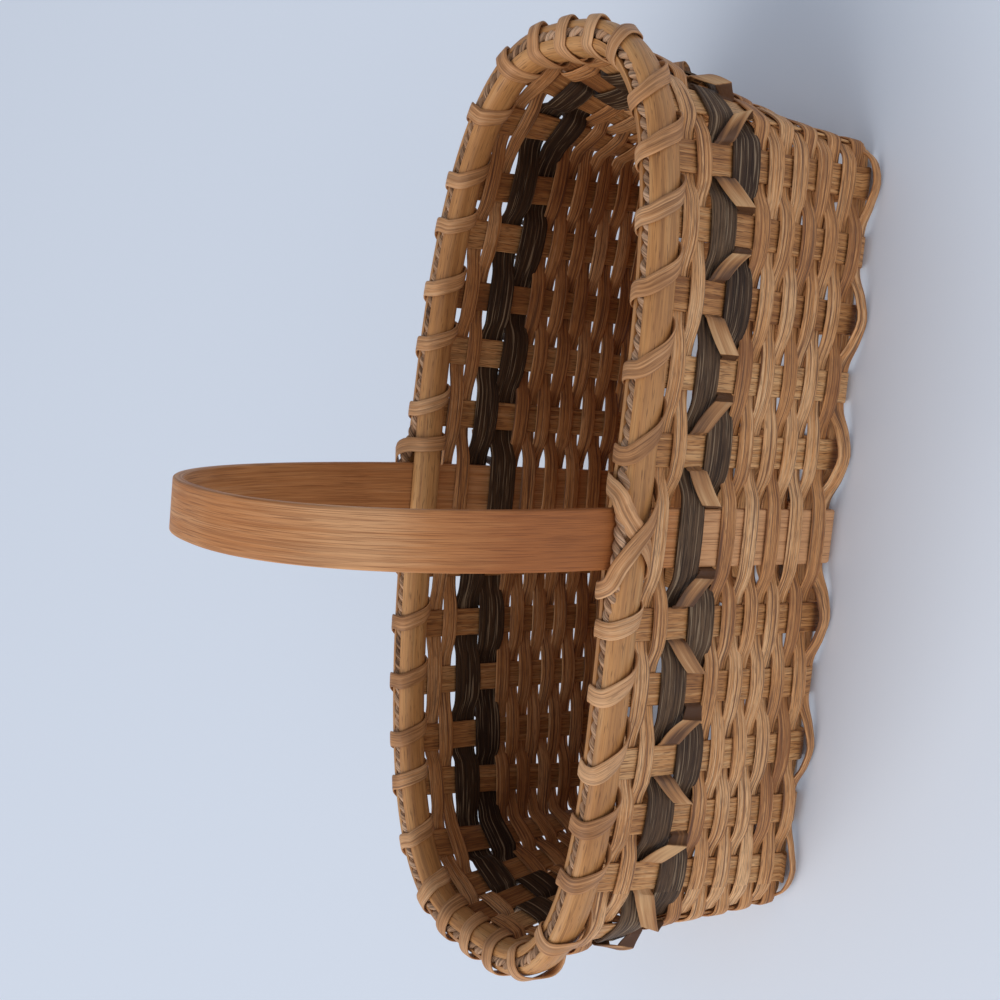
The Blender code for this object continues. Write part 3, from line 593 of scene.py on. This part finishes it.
def makeRow(number, bottom, kind):
    rng = np.random.default_rng(rows["seed"] + number)
    look = rowKinds[kind]
    margin, thick = look["margin"], look["thick"]
    lows, highs, swell = [], [], []
    jitter = rng.normal(size=count) * rows["jitter"]
    outShare, outBow = rows["looseShares"]
    sinkShare, sinkBow = rows["sinkShares"]
    for k, here, after, gap, _ in gapsRound(bottom):
        sides = []
        for n, upright in ((k, here), ((k + 1) % count, after)):
            side = 1 if (number + n) % 2 == 1 else -1
            clear = upright.thick / 2 + rows["clear"] + thick / 2
            clear += look["room"] if side < 0 else 0.0
            sides.append((side, clear + abs(jitter[n]), looseness(upright) if number == 1 and side > 0 else 0.0))
        (side, clear, hereLoose), (nextSide, nextClear, nextLoose) = sides
        places = []
        for share in np.linspace(-1.0, 1.0, rows["stakeSamples"]):
            bow = 1.0 - share * share
            out = side * (clear + rows["crown"] * bow) + hereLoose * rows["firstLoose"] * (outShare + outBow * bow)
            places.append((share * (here.half + margin), out, 1.0, hereLoose * (sinkShare + sinkBow * bow)))
        for share in np.arange(1, rows["gapSamples"] + 1) / (rows["gapSamples"] + 1):
            ease = eased(share)
            loose = hereLoose * (1 - ease) + nextLoose * ease
            out = side * clear * (1 - ease) + nextSide * nextClear * ease + loose * rows["firstLoose"] * outShare
            places.append((here.half + margin + (gap - 2 * margin) * share, out, abs(1 - 2 * ease),
                           loose * sinkShare))
        for along, out, wide, loose in places:
            sink, tilt = loose * rows["firstSink"], loose * rows["firstTilt"]
            lows.append(wallPoint(k, along, out - tilt, bottom - sink))
            highs.append(wallPoint(k, along, out + tilt, bottom + look["width"] - sink * rows["topSink"]))
            swell.append(wide)
    size = len(lows)
    lows, highs = smoothed(lows, rows["smooth"]), smoothed(highs, rows["smooth"])
    swell = smoothed(swell, rows["swellSmooth"])
    centres, up, through = bandOf(lows, highs)
    centres = centres + up * (waver(rng, size, rows["rise"]) + waver(rng, size, rows["ripple"]))[:, None]
    centres = centres + through * waver(rng, size, rows["sway"])[:, None]
    wider = look["swell"] * swell ** look["swellPower"]
    widths = np.linalg.norm(highs - lows, axis=1) * (rows["narrow"] + wider + waver(rng, size, rows["widthWaver"]))
    depths = thick * (1.0 + waver(rng, size, rows["depthWaver"]))
    sections = spread(centres, up, through, look["profile"], widths, depths)
    toneLine = waver(rng, size, rows["toneWaver"])
    tone = 0.5 + rng.normal() * rows["toneSpread"]
    made = sweep(f"{look['name']}{number:02d}", sections, look["material"], True, number, tone, toneLine,
                 innerStainAndShadeSide=innerStainAndShadeOf(look["profile"]))
    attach(made, "root")
    node = f"{'weaver_row' if kind == 'weaver' else 'dark_row'}_{number:02d}"
    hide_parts(node)


for number, (bottom, kind) in enumerate(rowPlan(), 1):
    makeRow(number, bottom, kind)
print("rows are woven")


# Uprights and the base

base = dict(
    low=0.00075, high=0.0025, over=0.0061, footHalf=0.016, bend=0.0080, top=0.1570,
    bendSteps=6, climbSteps=40, crossPlaces=62, longPlaces=150, easeFrom=0.3, easeSpan=0.4,
    seed=300, crossSeed=20, longSeed=40, widthWaver=(5, 0.006), toneWaver=(4, 0.05), toneSpread=0.09,
)


def wallClimb(upright, low):
    # Centres and directions across for a stake from the floor up its wall
    out, foot, radius = upright.outward(0.0), upright.centre(0.0), base["bend"]
    centres, across = [], []
    for i in range(base["bendSteps"] + 1):
        angle = math.pi / 2 * i / base["bendSteps"]
        at = foot - out * radius * (1 - math.sin(angle))
        at.z = low + radius * (1 - math.cos(angle))
        centres.append(at)
        across.append(alongOf(out))
    start = low + radius
    for i in range(1, base["climbSteps"] + 1):
        z = start + (base["top"] - start) * i / base["climbSteps"]
        at = upright.centre(z)
        at.z = z
        centres.append(at)
        across.append(alongOf(upright.outward(z)))
    return centres, across


def weaveHeights(places, crossings):
    # Height along a stake under the basket: it eases from one crossing level to the next
    marks, levels = np.array(sorted(crossings)).T
    after = np.clip(np.searchsorted(marks, places), 1, len(marks) - 1)
    share = (places - marks[after - 1]) / (marks[after] - marks[after - 1])
    share = eased(np.clip((share - base["easeFrom"]) / base["easeSpan"], 0.0, 1.0))
    return levels[after - 1] + (levels[after] - levels[after - 1]) * share


def makeStake(kind, number, sides, step, low, reach, size, crossings):
    # A stake under the basket from side to side, low at its bends, over and under what crosses it
    seed = base[f"{kind}Seed"] + number
    rng = np.random.default_rng(base["seed"] + seed)
    places = np.linspace(-reach, reach, size)[1:-1]
    heights = weaveHeights(places, [(-reach, low), (reach, low)] + crossings)
    if kind == "cross":
        floorPoints = [(crossX(step, 0.0), y, z) for y, z in zip(places, heights)]
    else:
        floorPoints = [(x, endY(step, 0.0), z) for x, z in zip(places, heights)]
    startUpright, endUpright = (next(u for u in uprights if u.side == side and u.step == step) for side in sides)
    (a, acrossA), (b, acrossB) = wallClimb(startUpright, low), wallClimb(endUpright, low)
    sideways = alongOf(endUpright.outward(0.0))
    centres = np.array([tuple(v) for v in [*reversed(a), *map(Vector, floorPoints), *b]])
    across = [-v for v in reversed(acrossA)] + [sideways] * len(floorPoints) + acrossB
    across = unit(np.array([tuple(v) for v in across]))
    size = len(centres)
    through = unit(np.cross(across, runOf(centres, False)))
    innerSide = -1 if through[size // 2, 2] < 0 else 1
    widths = wall["stakeWidth"] * (1.0 + waver(rng, size, base["widthWaver"], False))
    sections = spread(centres, across, through, flatReed, widths, wall["stakeThickness"])
    tone = 0.5 + rng.normal() * base["toneSpread"]
    toneLine = waver(rng, size, base["toneWaver"], False)
    made = sweep(f"{kind}Stake{number:02d}", sections, stakeReed, False, seed, tone, toneLine,
                 innerStainAndShadeSide=innerStainAndShadeOf(flatReed, innerSide))
    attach(made, "root")
    node = f"{kind}_stake_{number:02d}"
    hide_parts(node)


crossSteps = [step for step in range(-crossCount, crossCount + 1) if step != 0]
endSteps = list(range(-endCount, endCount + 1))
for number, step in enumerate(crossSteps, 1):
    crossings = [(endY(other, 0.0), base["high" if (step + other) % 2 == 0 else "low"]) for other in endSteps]
    makeStake("cross", number, ("near", "far"), step, base["low"], wall["baseWidth"] - base["bend"],
              base["crossPlaces"], crossings)
for number, step in enumerate(endSteps, 1):
    reach = wall["baseLength"] * wallReach(endY(step, 0.0) / wall["baseWidth"], wall["baseSquare"]) - base["bend"]
    crossings = [(crossX(other, 0.0), base["low" if (step + other) % 2 == 0 else "high"]) for other in crossSteps]
    crossings += [(-base["footHalf"], base["over"]), (base["footHalf"], base["over"])]
    makeStake("long", number, ("left", "right"), step, base["high"], reach, base["longPlaces"], crossings)
print("uprights are in")


# Handle

handle = dict(
    foot=0.0001, top=0.3286, spring=0.1846, rounding=0.824, corner=0.0045, lean=-0.0034,
    leanFrom=0.160, topWidth=0.0251, widthShare=0.998, depthShare=0.99,
    edge=0.24, edgeAcross=0.045, edgeSteps=4, facePlaces=(0.25, 0.0, -0.25),
    steps=(20, 8, 48, 90), spacing=0.0022, smooth=1.2,
    seed=7, widthWaver=(7, 0.004), depthWaver=(8, 0.02), toneWaver=(5, 0.08),
    # Painted light and shade on the near leg, by height
    paintedLightAt=(0.090, 0.145, 0.165, 0.200, 0.250, 0.288, 0.315),
    paintedLight=(0.45, -0.15, -0.45, -0.45, -0.12, 0.32, 0.0), paintedLightSmooth=3.0,
)


def handleLine():
    # Half of the closed hoop, from under the middle of the basket round its corner up to the top, and mirrored
    footSteps, cornerSteps, legSteps, archSteps = handle["steps"]
    foot, low = wall["baseWidth"], wall["handleThickness"] / 2 + handle["foot"]
    slope = (wall["rimWidth"] - wall["baseWidth"]) / wall["height"]
    top = handle["top"] - wall["handleThickness"] / 2
    reach, corner = foot + slope * handle["spring"], handle["corner"]
    half = [((foot - corner) * i / footSteps, low) for i in range(footSteps + 1)]
    for i in range(1, cornerSteps + 1):
        angle = math.pi / 2 * i / cornerSteps
        half.append((foot - corner * (1 - math.sin(angle)), low + corner * (1 - math.cos(angle))))
    start = low + corner
    for i in range(1, legSteps + 1):
        z = start + (handle["spring"] - start) * i / legSteps
        half.append((foot + slope * z, z))
    for i in range(1, archSteps + 1):
        angle = math.pi / 2 * i / archSteps
        half.append((reach * math.cos(angle) ** handle["rounding"] if i < archSteps else 0.0,
                     handle["spring"] + (top - handle["spring"]) * math.sin(angle) ** handle["rounding"]))
    whole = half + [(-y, z) for y, z in reversed(half[1:-1])]
    return np.array([(0.0, y, z) for y, z in whole])


def handleProfile():
    # A flat bar with soft edges, going round from its right edge
    profile = []
    for cx, cy, begin in ((1, 1, 90), (1, -1, 0), (-1, -1, -90), (-1, 1, 180)):
        for i in range(handle["edgeSteps"] + 1):
            angle = math.radians(begin - 90.0 * i / handle["edgeSteps"])
            profile.append((cx * (0.5 - handle["edgeAcross"]) + handle["edgeAcross"] * math.cos(angle),
                            cy * (0.5 - handle["edge"]) + handle["edge"] * math.sin(angle)))
    middle = len(profile) // 2
    profile[middle:middle] = [(place, -0.5) for place in handle["facePlaces"]]
    return profile + [(-place, 0.5) for place in handle["facePlaces"]]


def makeHandle():
    centres = smoothed(resampled(handleLine(), handle["spacing"])[0], handle["smooth"])
    rise = np.clip((centres[:, 2] - handle["leanFrom"]) / (handle["top"] - handle["leanFrom"]), 0.0, 1.0)
    centres[:, 0] = handle["lean"] * rise
    rng = np.random.default_rng(handle["seed"])
    run = runOf(centres, True)
    across = squared(np.tile(np.array([[1.0, 0.0, 0.0]]), (len(centres), 1)), run)
    through = unit(np.cross(run, across))
    size = len(centres)
    widths = wall["handleWidth"] + (handle["topWidth"] - wall["handleWidth"]) * rise
    widths = widths * (1.0 + waver(rng, size, handle["widthWaver"])) * handle["widthShare"]
    depths = wall["handleThickness"] * handle["depthShare"] * (1.0 + waver(rng, size, handle["depthWaver"]))
    sections = spread(centres, across, through, handleProfile(), widths, depths)
    # Painted light and shade along the near leg: paler low down and high on the arch, darkest by the rims
    paintedLight = np.interp(centres[:, 2], handle["paintedLightAt"], handle["paintedLight"]) * (centres[:, 1] < 0)
    toneLine = smoothed(paintedLight, handle["paintedLightSmooth"]) + waver(rng, size, handle["toneWaver"])
    made = sweep("handle", sections, handleOak, True, 3, 0.5, toneLine, settled=False)
    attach(made, "root")
    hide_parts("handle")


makeHandle()
print("handle is bent")


# Rims

rim = dict(
    bottom=0.1448, top=0.1611, thick=0.0055, seat=0.0014, flat=0.0015, samples=8, smooth=2.2,
    profileSteps=14, profilePower=0.80, backPlaces=(0.3, 0.0, -0.3),
    widthWaver=(7, 0.012), depthWaver=(6, 0.02), riseWaver=(5, 0.0003), toneWaver=(6, 0.08),
)


def ringLine(z, side, reach):
    # A closed line along the wall at a distance out of each upright's face
    points = []
    for k, here, after, gap, whole in gapsRound(z, reach):
        a = side * (here.thick / 2 + rim["seat"])
        b = side * (after.thick / 2 + rim["seat"])
        flatHere, flatAfter = here.half + rim["flat"], whole - after.half - rim["flat"]
        for i in range(rim["samples"]):
            along = whole * i / rim["samples"]
            share = eased(min(max((along - flatHere) / max(flatAfter - flatHere, 1e-6), 0.0), 1.0))
            points.append(wallPoint(k, along, a + (b - a) * share, z, reach))
    return smoothed(np.array([tuple(p) for p in points]), rim["smooth"])


def rimProfile():
    # A half-oval, its flat back against the uprights
    profile = []
    for i in range(rim["profileSteps"] + 1):
        angle = math.pi * (i / rim["profileSteps"] - 0.5)
        profile.append((0.5 * math.copysign(abs(math.sin(angle)) ** rim["profilePower"], math.sin(angle)),
                        abs(math.cos(angle)) ** rim["profilePower"]))
    return profile + [(place, 0.0) for place in rim["backPlaces"]]


def makeRim(name, node, side, seed):
    rng = np.random.default_rng(seed)
    reach = wall["reachOut"] if side > 0 else wall["reachIn"]
    centres, up, through = bandOf(ringLine(rim["bottom"], side, reach), ringLine(rim["top"], side, reach))
    size = len(centres)
    widths = (rim["top"] - rim["bottom"]) * (1.0 + waver(rng, size, rim["widthWaver"]))
    depths = rim["thick"] * (1.0 + waver(rng, size, rim["depthWaver"]))
    centres = centres + up * waver(rng, size, rim["riseWaver"])[:, None]
    sections = spread(centres, up, through * side, rimProfile(), widths, depths)
    made = sweep(name, sections, rimReed, True, seed, 0.5, waver(rng, size, rim["toneWaver"]))
    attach(made, "root")
    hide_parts(node)


makeRim("outerRim", "outer_rim", 1, 61)
makeRim("innerRim", "inner_rim", -1, 62)
print("rims are bent")


# Seagrass of two plies along the top, outside the legs of the handle

cord = dict(
    height=0.1584, orbit=0.0016, ply=0.0019, plySides=10, pitch=0.0135, legOut=0.0058,
    legHeight=0.1622, samples=10, lineSmooth=1.6, spacing=0.0011, smooth=2.0,
    seed=5, turnWaver=(40, 0.35), plyWaver=(60, 0.05), toneWaver=(30, 0.12), plyTone=0.04,
)


def cordLine():
    points = []
    z = wall["height"]
    for k, here, after, gap, whole in gapsRound(z):
        near, far = float(here.isLeg), float(after.isLeg)
        for i in range(cord["samples"]):
            along = whole * i / cord["samples"]
            share = eased(min(max((along - here.half) / gap, 0.0), 1.0))
            lift = near + (far - near) * share
            at = wallPoint(k, along, cord["legOut"] * lift, z)
            at.z = cord["height"] + (cord["legHeight"] - cord["height"]) * math.sqrt(lift)
            points.append(tuple(at))
    return smoothed(points, cord["lineSmooth"])


def makeSeagrass():
    line, total = resampled(cordLine(), cord["spacing"])
    line = smoothed(line, cord["smooth"])
    size = len(line)
    turns = round(total / cord["pitch"])
    rng = np.random.default_rng(cord["seed"])
    run = runOf(line, True)
    side = unit(np.cross(run, np.array([[0.0, 0.0, 1.0]])))
    up = np.cross(side, run)
    wobble = waver(rng, size, cord["turnWaver"])
    ring = np.linspace(0, 2 * math.pi, cord["plySides"] + 1)[:-1]
    profile = np.stack((np.cos(ring), np.sin(ring)), axis=-1)
    meshes = []
    for ply in range(2):
        angle = 2 * math.pi * turns * np.arange(size) / size + math.pi * ply + wobble
        centres = line + (side * np.cos(angle)[:, None] + up * np.sin(angle)[:, None]) * cord["orbit"]
        plyRun = runOf(centres, True)
        radial = squared(unit(centres - line), plyRun)
        grow = cord["ply"] * (1.0 + waver(rng, size, cord["plyWaver"]))
        sections = spread(centres, radial, np.cross(plyRun, radial), profile, grow, grow)
        meshes.append(sweep(f"seagrassPly{ply + 1}", sections, seagrass, True, 71 + ply, 0.5 + cord["plyTone"] * ply,
                            waver(rng, size, cord["toneWaver"])))
    for made in meshes:
        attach(made, "root")
    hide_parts("seagrass_cord")


makeSeagrass()
print("seagrass is twisted")


# Lashing

lash = dict(
    width=0.0084, crossWidth=0.0092, thick=0.0012, clear=0.0009,
    # Where a strand starts and ends along the wall, beside a stake or a leg of the handle
    early=-0.0014, passOut=0.88, passIn=0.62, slantWithin=0.185, sweep=1.65, passShares=(0.6, 0.2),
    legPass=0.0290, legTurn=0.0180, legStop=0.0070, legLift=0.0019,
    crossPass=0.0187, crossTurn=0.0190, crossInside=0.0060, crossFrom=3, crossUnder=4,
    # The loop round both rims, and the crown over the seagrass
    loopFrom=0.40, loopTurn=0.86, loopSteps=8, loopPower=0.8,
    crownIn=-2.4, crownOut=2.6, crownInDrop=0.9, crownOutDrop=0.5, crownShare=0.5,
    slant=0.05, overCord=0.0030, overOut=0.3, overPlaces=4,
    # It is pinched narrow and thick where it passes under the rims
    pinch=0.30, pinchThick=0.3, pinchBelow=0.1455, pinchBlend=0.003, middle=0.154,
    smooth=1.35, crossSmooth=1.6, faceSmooth=1.5,
    seed=17, startSpread=0.0008, insideSpread=0.0004, widthWaver=(30, 0.05), toneWaver=(40, 0.12),
)


def lashLoop(bulge, atLeg):
    # Places over the top of the seagrass, and from there down the outer face of the rims and under them
    middle, half = (rim["top"] + rim["bottom"]) / 2, (rim["top"] - rim["bottom"]) / 2
    face = bulge + rim["seat"]
    clear = lash["clear"] + lash["thick"] / 2
    outer = []
    for i in range(lash["loopSteps"] + 1):
        angle = math.pi * (lash["loopFrom"] - lash["loopTurn"] * i / lash["loopSteps"])
        rise = math.copysign(abs(math.sin(angle)) ** lash["loopPower"], math.sin(angle))
        outer.append((face + (rim["thick"] + clear) * abs(math.cos(angle)) ** lash["loopPower"],
                      middle + (half + clear) * rise))
    cordOut = cord["legOut"] if atLeg else 0.0
    top = cord["legHeight" if atLeg else "height"] + cord["orbit"] + cord["ply"] + clear
    crown = [(lash["crownIn"] * millimetre, top - lash["crownInDrop"] * millimetre),
             (cordOut * lash["crownShare"], top),
             (cordOut + lash["crownOut"] * millimetre, top - lash["crownOutDrop"] * millimetre)]
    return crown, outer


def passShare(i, places):
    start, room = lash["passShares"]
    return (i + start) / (places + room)


def strand(k, start, end, crown, outer, atLeg, lift=0.0):
    # From the crown at start down the outer face to the pass under the rims at end
    path = []
    for i, (out, z) in enumerate(crown):
        # Outside a leg a strand is straight, and already slants where it comes over the top
        early = (len(crown) - i) * lash["slant"] * (end - start) if atLeg else 0.0
        path.append((k, start - early, out, z))
    for i, (out, z) in enumerate(outer):
        share = passShare(i, len(outer)) ** (1.0 if atLeg else lash["sweep"])
        bump = math.sin(math.pi * (i / (len(outer) - 1))) * lift
        over = lash["overCord"] * max(0.0, 1.0 - i / lash["overPlaces"]) if atLeg else 0.0
        path.append((k, start + (end - start) * share, out + bump + over * lash["overOut"], z + over))
    return path


def innerStrand(k, start, end, outer):
    path = []
    for i, (out, z) in enumerate(reversed(outer)):
        share = 1.0 - (1.0 - passShare(i, len(outer))) ** lash["sweep"]
        path.append((k, start + (end - start) * share, -out, z))
    return path


def strandSections(path, closed, rng, width, soft):
    points, middles = [], []
    for k, along, out, z in path:
        at = wallPoint(k, along, out, min(z, wall["height"]), wall["reachOut"] if out > 0 else wall["reachIn"])
        at.z = z
        points.append(tuple(at))
        at = wallPoint(k, along, 0.0, lash["middle"])
        middles.append((at.x, at.y, lash["middle"]))
    # The line, and the middle of the rims beside it, get a place on the curve between each two
    ends = (slice(-1, None), slice(0, 2)) if closed else (slice(0, 1), slice(-1, None))
    padded = [np.vstack((line[ends[0]], line, line[ends[1]])) for line in (np.array(points), np.array(middles))]
    p0, p1, p2, p3 = (padded[0][i:len(padded[0]) - 3 + i] for i in range(4))
    between = 0.5 * (2 * p1 + (p2 - p0) * 0.5 + (2 * p0 - 5 * p1 + 4 * p2 - p3) * 0.25
                     + (3 * p1 - p0 - 3 * p2 + p3) * 0.125)
    fine = smoothed(np.stack((p1, between), axis=1).reshape(-1, 3), soft, closed)
    m1, m2 = padded[1][1:-2], padded[1][2:-1]
    fineMiddle = np.stack((m1, m1 * 0.5 + m2 * 0.5), axis=1).reshape(-1, 3)
    run = runOf(fine, closed)
    face = squared(unit(fine - fineMiddle), run)
    face = unit(smoothed(face, soft * lash["faceSmooth"], closed))
    across = unit(np.cross(face, run))
    low = np.clip((lash["pinchBelow"] - fine[:, 2]) / lash["pinchBlend"], 0.0, 1.0)
    widths = width * (1.0 - lash["pinch"] * low) * (1.0 + waver(rng, len(fine), lash["widthWaver"], closed))
    depths = lash["thick"] * (1.0 + lash["pinchThick"] * low)
    return spread(fine, across, face, flatOval, widths, depths)


def makeLashing():
    rng = np.random.default_rng(lash["seed"])
    path = []
    for k, here, after, gap, whole in gapsRound(wall["height"]):
        atLeg, toLeg = k in legs, (k + 1) % count in legs
        passOut = lash["passOut"] if abs(here.centre(0.0).x) < lash["slantWithin"] else lash["passIn"]
        start = lash["early"] + rng.normal() * lash["startSpread"]
        end = here.half + gap * passOut
        inside = here.half + gap * lash["passIn"] + rng.normal() * lash["insideSpread"]
        stop = whole + lash["early"]
        if atLeg:
            start, end = -lash["legTurn"], lash["legPass"]
            inside = end
        if toLeg:
            end, stop = whole - lash["legPass"], whole - lash["legTurn"] - lash["legStop"]
            inside = end
        crown, outer = lashLoop(here.thick / 2, atLeg)
        path += strand(k, start, end, crown, outer, atLeg, lash["legLift"] if atLeg else 0.0)
        path += innerStrand(k, inside, stop, lashLoop(after.thick / 2, toLeg)[1])
    sections = strandSections(path, True, rng, lash["width"], lash["smooth"])
    made = sweep("lashing", sections, lashReed, True, 81, 0.5, waver(rng, len(sections), lash["toneWaver"]))
    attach(made, "root")
    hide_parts("lashing")


def makeCrossStrand(name, node, k, seed):
    rng = np.random.default_rng(seed)
    crown, outer = lashLoop(wall["handleThickness"] / 2, True)
    inside = [(-out, z) for out, z in reversed(outer)]
    path = [(k, lash["crossTurn"] + lash["crossInside"], out, z) for out, z in inside[lash["crossFrom"]:]]
    path += strand(k, lash["crossTurn"], -lash["crossPass"], crown, outer, True)
    path += [(k, -lash["crossPass"], out, z) for out, z in inside[:lash["crossUnder"]]]
    sections = strandSections(path, False, rng, lash["crossWidth"], lash["crossSmooth"])
    made = sweep(name, sections, lashReed, False, seed, 0.55)
    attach(made, "root")
    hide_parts(node)


makeLashing()
makeCrossStrand("crossLashingNear", "cross_lashing_near", legs[0], 91)
makeCrossStrand("crossLashingFar", "cross_lashing_far", legs[1], 92)
print("lashing is wound")


# Curled strip over the dark rows

curl = dict(
    width=0.0112, thick=0.0007, proud=0.0010, reach=0.0072, middleShare=0.55,
    fold=0.77, oddFold=0.93, foldDrop=0.58, tilt=0.0030, foldTilt=0.0022, topTilt=0.6,
    faceClear=0.0006, backClear=0.0004, sideClear=0.0008, steps=8,
    ringFrom=0.220, ringBlend=0.010, ringSoft=1.8, ringShade=0.8, foldSoft=0.45,
    # Painted highlight toward each fold, painted shade on the return facet past it
    paintedLightFrom=-0.5, paintedLightStep=0.08, paintedShadeAfter=10, dark=-1.0, shade=0.6,
    seed=23, reachSpread=0.07, foldSpread=0.03, toneWaver=(40, 0.15),
)


def curlStations(face, behindUpper, behindLower, reach, fold):
    # From the upper level out to the fold and back to the lower level: share of the gap, out, drop, tilt and shade
    exitOut = face + curl["proud"]
    middle = exitOut + (reach - exitOut) * curl["middleShare"]
    tilt, foldTilt, foldDrop = curl["tilt"], curl["foldTilt"], curl["foldDrop"]
    stations = [(-0.10, behindUpper, 0.0, 0.0), (0.01, exitOut * 0.5, 0.0, tilt * 0.2)]
    bends = (((0.03, exitOut, 0.01, tilt * 0.6), (0.45, middle, 0.16, tilt * 1.3), (fold, reach, foldDrop, foldTilt)),
             ((fold, reach, foldDrop, foldTilt), (fold + 0.02, middle, 0.72, foldTilt * 0.6),
              (0.98, exitOut, 0.98, 0.0)))
    for number, (a, b, c) in enumerate(bends):
        for i in range(number, curl["steps"] + 1):
            t = i / curl["steps"]
            stations.append(tuple(a[n] * (1 - t) ** 2 + 2 * b[n] * t * (1 - t) + c[n] * t * t for n in range(4)))
    stations += [(0.99, exitOut * 0.5, 1.0, 0.0), (1.10, behindLower, 1.0, 0.0)]
    # The strip has a painted highlight growing toward the fold and painted shade past it, on the return facet
    shades = [curl["dark"] if number > curl["paintedShadeAfter"] else curl["paintedLightFrom"] + curl["paintedLightStep"] * number
              for number in range(len(stations))]
    return [(*station, shade) for station, shade in zip(stations, shades)]


def makeCurls():
    rng = np.random.default_rng(curl["seed"])
    lowLevel, highLevel = [bottom + rowKinds[kind]["width"] / 2 for bottom, kind in rowPlan() if kind == "dark"]
    bottoms, tops, shades = [], [], []
    for k, here in enumerate(uprights):
        after = uprights[(k + 1) % count]
        upperFirst = k % 2 == 0
        upper, lower = (here, after) if upperFirst else (after, here)
        face = max(here.thick, after.thick) / 2 + curl["faceClear"]
        reach = curl["reach"] * (1.0 + rng.normal() * curl["reachSpread"])
        fold = (curl["fold"] if upperFirst else curl["oddFold"]) + rng.normal() * curl["foldSpread"]
        stations = curlStations(face, -(upper.thick / 2 + curl["backClear"] + curl["thick"] / 2),
                                -(lower.thick / 2 + curl["backClear"] + curl["thick"] / 2), reach, fold)
        if not upperFirst:
            stations = [(1.0 - share, out, drop, tilt, shade) for share, out, drop, tilt, shade in reversed(stations)]
        for share, out, drop, tilt, shade in stations:
            shades.append(shade)
            middle = highLevel + (lowLevel - highLevel) * drop
            half = math.sqrt((curl["width"] / 2) ** 2 - tilt ** 2)
            for edge, z, place in ((bottoms, middle - half, out + tilt),
                                   (tops, middle + half, out - tilt * curl["topTilt"])):
                start = here.half + curl["sideClear"]
                end = here.half + gapAfter(k, z) - curl["sideClear"]
                edge.append(tuple(wallPoint(k, start + (end - start) * share, place, z)))
    # Sharp folds along the long walls, open rings round the ends
    ring = np.clip((np.abs(np.array(tops)[:, :1]) - curl["ringFrom"]) / curl["ringBlend"], 0.0, 1.0)
    bottoms = smoothed(bottoms, curl["foldSoft"]) * (1.0 - ring) + smoothed(bottoms, curl["ringSoft"]) * ring
    tops = smoothed(tops, curl["foldSoft"]) * (1.0 - ring) + smoothed(tops, curl["ringSoft"]) * ring
    centres, up, through = bandOf(bottoms, tops)
    widths = np.linalg.norm(tops - bottoms, axis=1)
    sections = spread(centres, up, through, flatReed, widths, curl["thick"])
    # Painted highlight and painted shade along the curls, less of it round the end rings
    toneLine = np.array(shades) * curl["shade"] * (1.0 - curl["ringShade"] * ring[:, 0])
    made = sweep("curlStrip", sections, curlReed, True, 95, 0.52,
                 toneLine + waver(rng, len(centres), curl["toneWaver"]))
    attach(made, "root")
    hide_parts("curl_strip")


makeCurls()
print("curls are looped")
